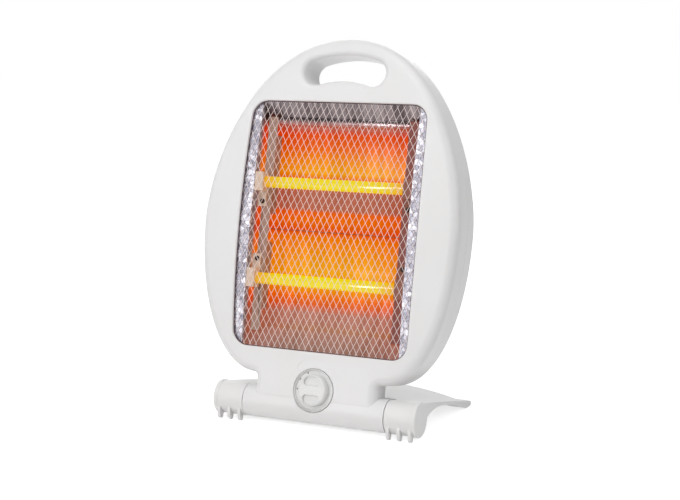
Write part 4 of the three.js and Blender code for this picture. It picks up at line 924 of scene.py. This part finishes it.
def strand_row(lean):
    """All the strands that lean one way, still flat and untrimmed."""
    reach = WINDOW_REACH + MESH_LAP + BORDER
    shift = reach * MESH_PITCH / MESH_RISE
    bm = drum(6, STRAND, 2 * math.hypot(reach, shift))
    angle = math.atan2(lean * shift, reach)
    bmesh.ops.rotate(bm, verts=bm.verts, matrix=Matrix.Rotation(angle, 3, "Y"))
    bmesh.ops.translate(bm, verts=bm.verts, vec=(0, MESH_Y + lean * STRAND * 0.6, WINDOW_MIDDLE))
    strand = [*bm.verts, *bm.edges, *bm.faces]
    count = math.ceil((WINDOW_HALF + BORDER + shift) / MESH_PITCH)
    for i in range(-count, count):
        copied = bmesh.ops.duplicate(bm, geom=strand)["geom"]
        bmesh.ops.translate(bm, verts=points_of(copied), vec=((i + 0.5) * MESH_PITCH, 0, 0))
    bmesh.ops.delete(bm, geom=points_of(strand), context="VERTS")
    return bm


def trim(bm, outline):
    """Keep what lies inside a convex outline."""
    for (x0, z0), (x1, z1) in zip(outline, outline[1:] + outline[:1]):
        divide(bm, (x0, 0, z0), (z1 - z0, 0, x0 - x1), clear_outer=True)
        bmesh.ops.holes_fill(bm, edges=[e for e in bm.edges if e.is_boundary])


def window_ring(outside, inside, y0, y1):
    """A flat ring round the window, from one margin to another."""
    return cut(prism(window_outline(outside), y0, y1)[0], prism(window_outline(inside), AHEAD, BEHIND)[0])


strands = gather([strand_row(1), strand_row(-1)])
trim(strands, window_outline(MESH_LAP + BORDER / 2)[::4])
border = window_ring(MESH_LAP + BORDER, MESH_LAP, MESH_Y - MESH_SHEET / 2, MESH_Y + MESH_SHEET / 2)
strands = gather([bow(strands), bow(border)])
finish(strands, "safety_mesh", mesh_enamel, "front_grille", weighted=False)

# %% [markdown]
# ## Dark ring round the window
# A thin dark ring lies between the window's edge and the mesh, as painted shadow under the window's lip.
# Less than a millimetre of it shows, as a dark line round the window.

# %% Dark ring of painted shadow
SHADOW_RING_SHOWS = 0.8
SHADOW_RING_PLAY = 0.03
# Painted shadow: a dark ring round the window.
shadow_ring = window_ring(MESH_LAP, -SHADOW_RING_SHOWS, -FACE + WALL + SHADOW_RING_PLAY, -FACE + WALL + GAP - SHADOW_RING_PLAY)
finish(bow(shadow_ring), "window_painted_shadow_ring", shadow_ring_dark, weighted=False)

# %% [markdown]
# ## Reflector
# Two bright troughs stand one above the other behind the tubes. Each is one bent sheet: a slope behind the
# window's edge, then a bowed floor up to the ridge where the two meet. The upper one has a rolled bead
# between slope and floor. A bent line is pushed sideways to a skin, which then gets its thickness.

# %% Troughs
SHEET = 0.8
REFLECTOR_HALF = corners("reflector_upper")[1].x
TROUGH_HIGH = WINDOW_HIGH - 18.4
TROUGH_LOW = WINDOW_LOW + 19.1
RIDGE = (corners("reflector_upper")[0].z + corners("reflector_lower")[1].z) / 2
FLOOR = 15.5
LIP = 1.0
STRIP_FRONT = -11.0
RIDGE_FRONT = -1.9
BEAD = 4.6
BEAD_ARC = (123, 315)
FLOOR_PULL = FLOOR + 5.5


def trough(side):
    lip_z = TROUGH_HIGH if side > 0 else TROUGH_LOW
    strip_z = WINDOW_HIGH if side > 0 else WINDOW_LOW
    ridge_z = RIDGE + side * (SHEET + GAP / 2)
    bead = arc((LIP + BEAD / 2, lip_z), BEAD, *BEAD_ARC, 14) if side > 0 else [(LIP, lip_z)]
    near_lip, near_ridge = (FLOOR_PULL, lip_z - side * 20), (FLOOR_PULL, ridge_z + side * 16)
    floor_line = bezier([bead[-1], near_lip, near_ridge, (RIDGE_FRONT, ridge_z)], 40)
    line = [(STRIP_FRONT, strip_z), *bead[:-1], *floor_line]
    bm = bmesh.new()
    verts = [bm.verts.new((-REFLECTOR_HALF, y, z)) for y, z in line]
    edges = [bm.edges.new(pair) for pair in zip(verts, verts[1:])]
    made = bmesh.ops.extrude_edge_only(bm, edges=edges)["geom"]
    bmesh.ops.translate(bm, verts=points_of(made), vec=(2 * REFLECTOR_HALF, 0, 0))
    bmesh.ops.recalc_face_normals(bm, faces=bm.faces)
    if sum(f.normal.y for f in bm.faces) > 0:
        bmesh.ops.reverse_faces(bm, faces=bm.faces)
    bmesh.ops.solidify(bm, geom=list(bm.faces), thickness=SHEET)
    return bm


for side, name in ((1, "upper"), (-1, "lower")):
    finish(trough(side), f"bright_trough_{name}", trough_metal, f"reflector_{name}")

# %% [markdown]
# ## Pieces that keep their shape
# Small pieces inside need no new form, only softer edges and a real finish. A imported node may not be
# changed, so a copy is taken, its loose triangles are merged back into flat faces, and its edges get a
# narrow bevel.


# %% Copies with soft edges
LEVEL = math.radians(1)


def dressed(node, finish_material, bevel):
    bm = bmesh.new()
    bm.from_mesh(frame["nodes"][node].data)
    bmesh.ops.remove_doubles(bm, verts=bm.verts, dist=1e-6)
    bmesh.ops.dissolve_limit(bm, angle_limit=LEVEL, verts=bm.verts, edges=bm.edges)
    finish(bm, "dressed_" + node, finish_material, node, place=Matrix.Identity(4), bevel=bevel)


# The right-hand bracket and holders take the darker copies, with painted shade.
for hand, zinc, ceramic in (("left", bracket_zinc, steatite), ("right", zinc_painted_shade, shaded_steatite)):
    dressed(f"reflector_side_{hand}", hammered, 0.2)
    dressed(f"tube_bracket_{hand}", zinc, 0.2)
    dressed(f"pivot_bush_{hand}", inner_plastic, 0.3)
    dressed(f"pivot_washer_{hand}", plated_steel, 0.2)
    dressed(f"pivot_screw_{hand}", plated_steel, 0.2)
    for name in ("upper", "lower"):
        dressed(f"ceramic_holder_{name}_{hand}", ceramic, 0.5)
        dressed(f"tube_terminal_{name}_{hand}", plated_steel, 0.15)
        dressed(f"lead_{name}_{hand}", sleeving, 0)
dressed("heat_shield", shield_steel, 0.2)
dressed("thermal_cutout", plated_steel, 0.3)
dressed("terminal_block", inner_plastic, 0.4)
dressed("tip_switch_body", inner_plastic, 0.3)
dressed("tip_switch_weight", plated_steel, 0.3)
dressed("rotary_switch", switch_phenolic, 0.4)
dressed("switch_shaft", inner_plastic, 0.3)
dressed("cord_gland", housing_abs, 0.5)
for node in list(frame["nodes"]):
    if "_screw_" in node and not node.startswith("pivot"):
        dressed(node, browned_steel if node.startswith("holder") else plated_steel, 0.15)

# %% [markdown]
# ## Return flanges
# A bent flange stiffens each tube bracket beside each tube: a narrow strip of the same sheet that goes
# back from its inner edge towards the trough.

# %% Return flanges of the tube brackets
low, high = corners("tube_bracket_right")
RETURN_DEPTH = 9.0
RETURN_LAP = 0.4
RETURN_SPANS = {"upper": (184.0, 262.0), "lower": (90.0, 156.0)}
for name, (z0, z1) in RETURN_SPANS.items():
    for side, hand in ((-1, "left"), (1, "right")):
        x0, x1 = sorted((side * low.x, side * (low.x + SHEET)))
        flange = block((x0, high.y - RETURN_LAP, z0), (x1, RETURN_DEPTH, z1))
        finish(flange, f"bracket_return_{name}_{hand}", bracket_zinc, bevel=0.2)

# %% [markdown]
# ## Glowing tubes
# Each tube is clear quartz round a coil of resistance wire. Alight, the whole bore looks filled with
# yellow light, so the glass gets a glow that fades where the tube enters its ceramic holders.

# %% Tubes
GLASS_WALL = 1.1
for name in ("upper", "lower"):
    low, high = corners(f"quartz_tube_{name}")
    centre = ((low.y + high.y) / 2, (low.z + high.z) / 2)
    radius = (high.z - low.z) / 2
    bore = rod("X", low.x - 1, high.x + 1, radius - GLASS_WALL, centre, 48)
    glass = cut(rod("X", low.x, high.x, radius, centre, 48), bore)
    finish(glass, f"lit_tube_{name}", quartz, f"quartz_tube_{name}")
    dressed(f"heating_core_{name}", core_glow, 0)

# %% [markdown]
# ## Dial and knob
# The dial is a shallow dish in a round hole, with three small printed marks. The knob in it is a short
# drum with two finger hollows and a bar between them.

# %% Dial
DIAL_FRONT = FACE_LOW + 2.0
KNOB_RADIUS = 15.4
KNOB_FACE = FACE_LOW - 4.6
SHAFT_HOLE = 3.3


def turned(profile, z):
    """A turned form about an axis along Y, from [depth, radius] stations that start and end on the axis."""
    bm = bmesh.new()
    verts = [bm.verts.new((radius, depth, z)) for depth, radius in profile]
    edges = [bm.edges.new(pair) for pair in zip(verts, verts[1:])]
    turn = {"axis": (0, 1, 0), "angle": 2 * math.pi, "steps": SIDES, "use_merge": True}
    bmesh.ops.spin(bm, geom=verts + edges, cent=(0, 0, z), **turn)
    bmesh.ops.remove_doubles(bm, verts=bm.verts, dist=0.001)
    bmesh.ops.recalc_face_normals(bm, faces=bm.faces)
    return bm


rim = DIAL_HOLE - 2 * GAP
dial_back = corners("dial_plate")[1].y
dial = turned(
    [
        (dial_back, 0),
        (dial_back, rim + DIAL_LIP),
        (FACE_LOW + WALL + GAP, rim + DIAL_LIP),
        (FACE_LOW + WALL + GAP, rim),
        (FACE_LOW + 0.1, rim),
        (FACE_LOW - 0.1, rim - 0.25),
        (FACE_LOW - 0.1, rim - 0.6),
        (FACE_LOW + 0.1, rim - 0.9),
        (DIAL_FRONT - 0.3, rim - 1.7),
        (DIAL_FRONT, rim - 2.2),
        (DIAL_FRONT, 0),
    ],
    DIAL_Z,
)
dial = cut(dial, rod("Y", AHEAD, BEHIND, SHAFT_HOLE, (0, DIAL_Z), 40))
finish(dial, "dial_dish", knob_abs, "dial_plate")

# %% Printed marks
MARK_RADIUS = 18.0
MARK_THICKNESS = 0.08


def mark(corners_xz, angle):
    """A flat printed mark, drawn round the origin and put on the dial at an angle."""
    middle_x, middle_z = arc((0, DIAL_Z), MARK_RADIUS, angle, angle, 1)[0]
    outline = [(middle_x + x, middle_z + z) for x, z in corners_xz]
    return prism(outline, DIAL_FRONT, DIAL_FRONT - MARK_THICKNESS)[0]


triangle = [(-1.2, 0), (0.9, -1.1), (0.9, 1.1)]
chevron = [(-1.0, 1.1), (1.1, 0.6), (1.1, 0.1), (-0.1, 0.45), (0.4, -1.0), (-0.1, -1.1)]
dot = arc((0, 0), 0.9, 0, 345, 23)
marks = join(mark(triangle, 180), mark(chevron, 148), mark(dot, 116))
finish(marks, "dial_marks", mark_ink)

# %% Knob
HOLLOW_HALF_WIDTH = 8.4
HOLLOW_HEIGHT = 9.4
HOLLOW_NEAR_CORNER = 2.2
HOLLOW_FAR_CORNER = 4.2
HOLLOW_RIM = 1.0
HOLLOW_DEPTH = 2.4
BAR_HALF = 4.8
KNOB_ROUND = 1.8
KNOB_DRAFT = 0.6
SHAFT_END = KNOB_FACE + 1.4


def hollow_outline(side):
    def outline(margin=0.0):
        half = HOLLOW_HALF_WIDTH + margin
        near = BAR_HALF - margin
        far = BAR_HALF + HOLLOW_HEIGHT + margin - 1.2
        r_near, r_far = HOLLOW_NEAR_CORNER + margin, HOLLOW_FAR_CORNER + margin
        points = [
            *arc((half - r_near, near + r_near), r_near, -90, 0, 6),
            *arc((half - r_far, far - r_far), r_far, 0, 90, 8),
            *arc((-half + r_far, far - r_far), r_far, 90, 180, 8),
            *arc((-half + r_near, near + r_near), r_near, 180, 270, 6),
        ]
        return [(x, DIAL_Z + side * z) for x, z in points]

    return outline


def rounded_corner(depth, radius, size, towards=1):
    """The quarter circle that rounds the rim of a turned form, which ends in a flat at a depth."""
    turns = [(1 - math.sin(a), 1 - math.cos(a)) for a in [0.0] + ROUND]
    return [(depth + towards * size * inwards, radius - size * down) for inwards, down in turns]


edge = rounded_corner(KNOB_FACE, KNOB_RADIUS - KNOB_DRAFT, KNOB_ROUND)
knob = turned([(DIAL_FRONT - GAP, 0), (DIAL_FRONT - GAP, KNOB_RADIUS), *edge, (KNOB_FACE, 0)], DIAL_Z)
hollows = [mouth(hollow_outline(side), KNOB_FACE, HOLLOW_RIM, KNOB_FACE + HOLLOW_DEPTH) for side in (-1, 1)]
knob = cut(knob, *hollows, rod("Y", SHAFT_END, 0, SHAFT_HOLE, (0, DIAL_Z), 40))
finish(knob, "knob", knob_abs, "control_knob")

# %% [markdown]
# ## Foot
# The foot is one moulding: a broad plate that arches from the hinge down to two rear corners, a round cap
# at each end of the hinge tube, and three slender claw toes under each cap.

# %% Foot sizes
CAP_INNER = TUBE_HALF + 0.6
CAP_END = corners("stand", FOOT)[1].x
CAP_DISC = 16.9
REACH = 145.0
TIP = 5.0
FOOT_HALF = CAP_END - 1
CROWN = 8.0
CROWN_HALF = FOOT_HALF / 1.2
REAR_BOW = 7.6
FOOT_CORNER = 5.0
VALLEY = 22.0
FLOOR_Z = -AXIS_HEIGHT


def quadratic(a, b, c, count):
    """Points along a curve with one pull, b."""
    shares = [i / (count - 1) for i in range(count)]
    return [[(1 - t) ** 2 * p + 2 * t * (1 - t) * q + t * t * r for p, q, r in zip(a, b, c)] for t in shares]


def plate_profile():
    """The plate's section in Y and Z: a gently hollow top, a round rear edge and an arched underside."""
    tip_y = REACH - TIP / 2
    top_z = FLOOR_Z + TIP
    top = quadratic((0, TUBE_RADIUS - GAP), (REACH / 2, top_z + TUBE_RADIUS), (tip_y, top_z), 26)
    tip = arc((tip_y, FLOOR_Z + TIP / 2), TIP / 2, 90, -90, 10)
    pulls = [(tip_y - 12, FLOOR_Z), (REACH * 0.59, -6), (REACH * 0.28, 12), (TUBE_RADIUS * 0.75, -6)]
    return [*top[:-1], *tip, *bezier(pulls, 30), (0, -6)]


def lengthwise(profile, x0, x1, steps=1):
    """A profile in Y and Z pushed along X, in equal lengths."""
    bm = bmesh.new()
    face = bm.faces.new([bm.verts.new((x0, y, z)) for y, z in profile])
    push(bm, face, (x1 - x0, 0, 0))
    for i in range(1, steps):
        divide(bm, (x0 + (x1 - x0) * i / steps, 0, 0), (1, 0, 0))
    return bm


# %% Plate
PLATE_EDGE = 1.1


def quarter_drop(distance, radius):
    """How far a quarter circle has dropped at a distance from its outer end."""
    inside = max(0.0, 1 - distance / radius)
    return radius * (1 - math.sqrt(max(0.0, 1 - inside * inside)))


def foot_plate():
    """The plate: edges rounded, rear corners drawn in along a quarter circle, and the middle crowned."""
    bm = lengthwise(plate_profile(), -FOOT_HALF, FOOT_HALF, 36)
    for side in (-1, 1):
        for a in ROUND[:-1]:
            for radius in (PLATE_EDGE, FOOT_CORNER):
                divide(bm, (side * (FOOT_HALF - radius * (1 - math.sin(a))), 0, 0), (1, 0, 0))
    bm.normal_update()
    for vert in bm.verts:
        from_edge = FOOT_HALF - abs(vert.co.x)
        inwards = Vector((0, vert.normal.y, vert.normal.z)).normalized()
        vert.co -= inwards * quarter_drop(from_edge, PLATE_EDGE)
        behind = max(0, vert.co.y - REACH / 2) / (REACH / 2)
        vert.co.y -= quarter_drop(from_edge, FOOT_CORNER) * behind
        sideways = max(0, 1 - (vert.co.x / CROWN_HALF) ** 2)
        backwards = max(0, (vert.co.y - VALLEY) / (REACH - VALLEY))
        vert.co.z += CROWN * sideways * backwards
        vert.co.y += REAR_BOW * sideways * backwards**2
    return bm


# %% Caps, toes and hubs
DISC_WIDTH = 4.6
DISC_ROUND = 1.2
CAP_WALL = 2.6
TOE_MIDDLE = CAP_INNER + 15
TOE_PITCH = 11.15
TOE_HALF = 1.5
HUB_RADIUS = 8.0
HUB_INNER = TUBE_HALF - 4.8
BORE_RADIUS = 2.3
BORE_INNER = TUBE_HALF - 6
BORE_OUTER = TUBE_HALF + 11.2


def end_cap(side):
    """A plain drum, with a slightly larger disc at its outer end."""
    disc = CAP_END - DISC_WIDTH
    stations = [
        (CAP_INNER, 0),
        (CAP_INNER, TUBE_RADIUS - 0.5),
        (CAP_INNER + 0.5, TUBE_RADIUS),
        (disc - 0.6, TUBE_RADIUS),
        (disc, TUBE_RADIUS + 0.2),
        (disc + 0.6, CAP_DISC),
        *rounded_corner(CAP_END, CAP_DISC, DISC_ROUND, -1),
        (CAP_END, 0),
    ]
    bm = turned(stations, 0)
    turn = Matrix.Rotation(-math.pi / 2 * side, 4, "Z")
    bmesh.ops.transform(bm, matrix=turn, verts=bm.verts)
    return bm


def toe(x):
    """A claw that grows out of the cap's front and ends in a small flat on the floor."""
    front_edge = bezier([(-14.6, -5), (-16.4, -9), (-16.0, FLOOR_Z + 2), (-12.8, FLOOR_Z)], 12)
    rear_edge = bezier([(-10.6, FLOOR_Z), (-9.2, FLOOR_Z + 0.6), (-8, -15), (-7, -8)], 10)
    return lengthwise(front_edge + rear_edge, x - TOE_HALF, x + TOE_HALF)


def at_both_ends(inner_end, outer_end, radius, sides=SIDES):
    """The same rod on the hinge axis at the left end and at the right end."""
    return [rod("X", side * inner_end, side * outer_end, radius, sides=sides) for side in (-1, 1)]


caps = [end_cap(side) for side in (-1, 1)]
toes = [toe(side * (TOE_MIDDLE + TOE_PITCH * i)) for side in (-1, 1) for i in (-1, 0, 1)]
foot = cut(foot_plate(), across(CAP_INNER, VALLEY))
hollows = at_both_ends(CAP_INNER - 1, CAP_END - DISC_WIDTH, TUBE_RADIUS - CAP_WALL)
foot = cut(join(foot, *caps, *toes), *hollows)
foot = join(foot, *at_both_ends(HUB_INNER, CAP_END - DISC_ROUND, HUB_RADIUS))
foot = cut(foot, *at_both_ends(BORE_INNER, BORE_OUTER, BORE_RADIUS, 24))
finish(foot, "foot", foot_abs, "stand", place=FOOT, bevel=0.5)

# %% [markdown]
# ## Light, floor and background
# The heater stands on a plain white floor in a plain white room. Wide, soft lamps keep the light level,
# so that a colour shows about as it is written. A tall, very narrow lamp in front, a little to the left,
# gives the glass and the bright metal a thin highlight. The white background is only for the camera and
# for reflections, so it puts no extra light on the heater.


# %% White for the camera only
def seen(tree):
    """1 for what the camera sees, itself or in gloss and through glass, and 0 for light on the heater."""
    rays = [add(tree, "LightPath").outputs[f"Is {kind} Ray"] for kind in ("Camera", "Glossy", "Transmission")]
    direct = add(tree, "Math", {"operation": "MAXIMUM"}, i0=rays[0], i1=rays[1])
    return add(tree, "Math", {"operation": "MAXIMUM"}, i0=direct, i1=rays[2])


WHITE = (1, 1, 1, 1)
world = bpy.data.worlds.new("white_room")
bpy.context.scene.world = world
world.use_nodes = True
room = world.node_tree
room.nodes.clear()
soft_light = add(room, "Background", Color=linear("#F6F6F8"), Strength=0.26)
white_wall = add(room, "Background", Color=WHITE, Strength=1.0)
add(room, "OutputWorld", Surface=add(room, "MixShader", i0=seen(room), i1=soft_light, i2=white_wall))

# %% Floor
FLOOR_HALF = 6.0
floor_material, tree, floor_place = material("white_paper_floor")
tooth = add(tree, "TexNoise", Vector=floor_place, Scale=every(1.11))
paper = add(tree, "BsdfDiffuse", Color=ramp(tree, tooth, [(0, "#F4F4F4"), (1, "#F8F8F8")]))
distance = add(tree, "VectorMath", {"operation": "LENGTH"}, i0=floor_place).outputs["Value"]
strength = add(tree, "MapRange", Value=distance, From_Min=0.2, From_Max=2.0, To_Min=0.7, To_Max=0.85)
white_light = add(tree, "Emission", Color=WHITE, Strength=strength)
both = add(tree, "AddShader", i0=paper, i1=white_light)
add(tree, "OutputMaterial", Surface=add(tree, "MixShader", i0=seen(tree), i1=paper, i2=both))
floor_form = bmesh.new()
bmesh.ops.create_grid(floor_form, x_segments=1, y_segments=1, size=FLOOR_HALF)
floor = as_object(floor_form, "floor")
floor.data.materials.append(floor_material)

# %% Lamps
LAMP_AIM = Vector((0, 0, 0.18))


def soft_lamp(name, azimuth, elevation, distance, size, power):
    """A rectangular lamp, [width, height] in metres, that looks at the middle of the heater."""
    data = bpy.data.lights.new(name, "AREA")
    data.shape = "RECTANGLE"
    data.size, data.size_y = size
    data.energy = power
    lamp = bpy.data.objects.new(name, data)
    away = direction(math.radians(azimuth), math.radians(elevation))
    lamp.location = LAMP_AIM + away * distance
    lamp.rotation_euler = away.to_track_quat("Z", "Y").to_euler()
    bpy.context.scene.collection.objects.link(lamp)


soft_lamp("main_softbox", -4, 46, 1.8, (0.9, 0.9), 6.6)
soft_lamp("left_softbox", -60, 20, 2.1, (1.2, 1.2), 3.0)
soft_lamp("right_softbox", 75, 35, 2.1, (1.2, 1.2), 6.3)
soft_lamp("top_softbox", 30, 78, 1.9, (1.2, 1.2), 9)
soft_lamp("back_softbox", 205, 25, 2.2, (1.4, 1.4), 8)
soft_lamp("strip_light", -21.4, 14, 1.5, (0.015, 1.2), 4.6)
bpy.context.scene.view_settings.view_transform = "Standard"
